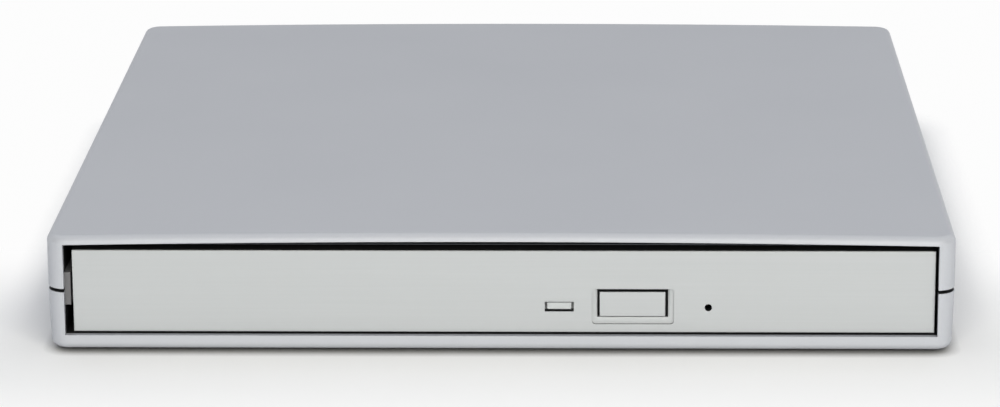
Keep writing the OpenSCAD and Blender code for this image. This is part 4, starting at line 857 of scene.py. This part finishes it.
def make_floor():
    bm = bmesh.new()
    bmesh.ops.create_grid(bm, x_segments=1, y_segments=1, size=4.0)
    bmesh.ops.translate(bm, vec=(0, 0, -0.00002), verts=bm.verts)
    mesh = bpy.data.meshes.new("floor")
    bm.to_mesh(mesh)
    bm.free()
    floor = bpy.data.objects.new("floor", mesh)
    bpy.context.collection.objects.link(floor)
    material = bpy.data.materials.new("floor_white")
    material.use_nodes = True
    tree = material.node_tree
    tree.nodes.remove(tree.nodes["Principled BSDF"])
    matt = tree.nodes.new("ShaderNodeBsdfDiffuse")
    near = closeness(tree, NEAR_SHADE)
    contact = closeness(tree, CONTACT_SHADE)
    dark = math_node(tree, "MULTIPLY", contact, CONTACT_DARK)
    dark = math_node(tree, "MULTIPLY_ADD", near, NEAR_DARK, dark)
    shade = tree.nodes.new("ShaderNodeMix")
    shade.data_type = "RGBA"
    shade.inputs["A"].default_value = (*FLOOR_WHITE, 1)
    shade.inputs["B"].default_value = (0, 0, 0, 1)
    tree.links.new(math_node(tree, "MULTIPLY", dark, seen_directly(tree)), shade.inputs["Factor"])
    tree.links.new(shade.outputs["Result"], matt.inputs["Color"])
    glow = tree.nodes.new("ShaderNodeEmission")
    glow.inputs["Color"].default_value = (BACK_WHITE, BACK_WHITE, BACK_WHITE, 1)
    where = tree.nodes.new("ShaderNodeTexCoord").outputs["Object"]
    axes = tree.nodes.new("ShaderNodeSeparateXYZ")
    tree.links.new(where, axes.inputs[0])
    behind = ramp_node(tree, axes.outputs["Y"], -0.072, -0.015)
    ahead = ramp_node(tree, math_node(tree, "MULTIPLY", axes.outputs["Y"], -1.0), 0.076, 0.118)
    beside = ramp_node(tree, math_node(tree, "ABSOLUTE", axes.outputs["X"]), 0.08, 0.14)
    white = math_node(tree, "MAXIMUM", math_node(tree, "MAXIMUM", behind, ahead), beside)
    fade = math_node(tree, "MULTIPLY", white, ramp_node(tree, near, 0.3, 0.0))
    mix = tree.nodes.new("ShaderNodeMixShader")
    tree.links.new(math_node(tree, "MULTIPLY", fade, seen_directly(tree)), mix.inputs[0])
    tree.links.new(matt.outputs[0], mix.inputs[1])
    tree.links.new(glow.outputs[0], mix.inputs[2])
    tree.links.new(mix.outputs[0], tree.nodes["Material Output"].inputs["Surface"])
    mesh.materials.append(material)


def make_world(sky, rear_sky):
    """A soft studio, dark at both sides, with a white backdrop that shiny pieces show too."""
    world = bpy.data.worlds.new("studio")
    bpy.context.scene.world = world
    world.use_nodes = True
    tree = world.node_tree
    lit = tree.nodes["Background"]
    lit.inputs["Color"].default_value = (0.93, 0.975, 1.08, 1)
    axes = tree.nodes.new("ShaderNodeSeparateXYZ")
    tree.links.new(tree.nodes.new("ShaderNodeTexCoord").outputs["Generated"], axes.inputs[0])
    flags = ramp_node(tree, math_node(tree, "ABSOLUTE", axes.outputs["X"]), 0.4, 0.85)
    backdrop = ramp_node(tree, axes.outputs["Y"], -0.2, 0.3)
    level = math_node(tree, "MULTIPLY_ADD", backdrop, rear_sky - sky, sky)
    open_part = math_node(tree, "MULTIPLY_ADD", flags, -0.6, 1.0)
    tree.links.new(math_node(tree, "MULTIPLY", level, open_part), lit.inputs["Strength"])
    white = tree.nodes.new("ShaderNodeBackground")
    white.inputs["Color"].default_value = (BACK_WHITE, BACK_WHITE, BACK_WHITE, 1)
    mix = tree.nodes.new("ShaderNodeMixShader")
    tree.links.new(seen_directly(tree, backdrop), mix.inputs[0])
    tree.links.new(lit.outputs[0], mix.inputs[1])
    tree.links.new(white.outputs[0], mix.inputs[2])
    tree.links.new(mix.outputs[0], tree.nodes["World Output"].inputs["Surface"])


def add_lamp(name, place, aim, size, power, colour, mirrored=True):
    lamp = bpy.data.lights.new(name, "AREA")
    lamp.color = colour
    lamp.shape = "RECTANGLE"
    lamp.size, lamp.size_y = size
    lamp.energy = power
    obj = bpy.data.objects.new(name, lamp)
    bpy.context.collection.objects.link(obj)
    obj.visible_glossy = mirrored
    obj.location = place
    obj.rotation_mode = "QUATERNION"
    obj.rotation_quaternion = (Vector(aim) - Vector(place)).to_track_quat("-Z", "Y")


# Camera fitted to the photograph: lens in millimetres, place in metres, yaw, pitch and roll in degrees
LENS = 143.924
SENSOR = 36.0
CAMERA_PLACE = (0.0135, -0.6408, 0.17955)
CAMERA_TURNS = (1.3518, -15.3229, 0.274)


def make_camera():
    data = bpy.data.cameras.new("camera")
    data.sensor_fit = "HORIZONTAL"
    data.sensor_width = SENSOR
    data.lens = LENS
    data.clip_start = 0.01
    data.clip_end = 100.0
    cam = bpy.data.objects.new("camera", data)
    bpy.context.collection.objects.link(cam)
    yaw, pitch, roll = (math.radians(a) for a in CAMERA_TURNS)
    aim = Matrix.Rotation(yaw, 4, "Z") @ Matrix.Rotation(pitch, 4, "X") @ Matrix.Rotation(roll, 4, "Y")
    level = Matrix.Rotation(math.radians(90), 4, "X")
    cam.matrix_world = Matrix.Translation(CAMERA_PLACE) @ aim @ level
    bpy.context.scene.camera = cam


make_camera()
make_lid()
make_base()
make_bezel()
make_button()
make_light()
make_feet()
make_ribbon()
CREASE = crease_group()
for node, slot in NODE_FINISH.items():
    dress_node(node, slot, CREASE)
make_floor()
make_world(sky=0.38, rear_sky=0.67)
add_lamp(
    "front_soft_box", place=(0.14, -0.87, 0.33), aim=(0, 0, 0.01), size=(1.0, 0.5), power=12.2,
    colour=(1.0, 0.965, 0.86), mirrored=False,
)
add_lamp(
    "rim_soft_box", place=(0.0, -0.28, 0.9), aim=(0, -0.07, 0.01), size=(1.4, 0.35), power=0.5,
    colour=(1.0, 1.0, 1.0),
)
bpy.context.scene.view_settings.view_transform = "Standard"
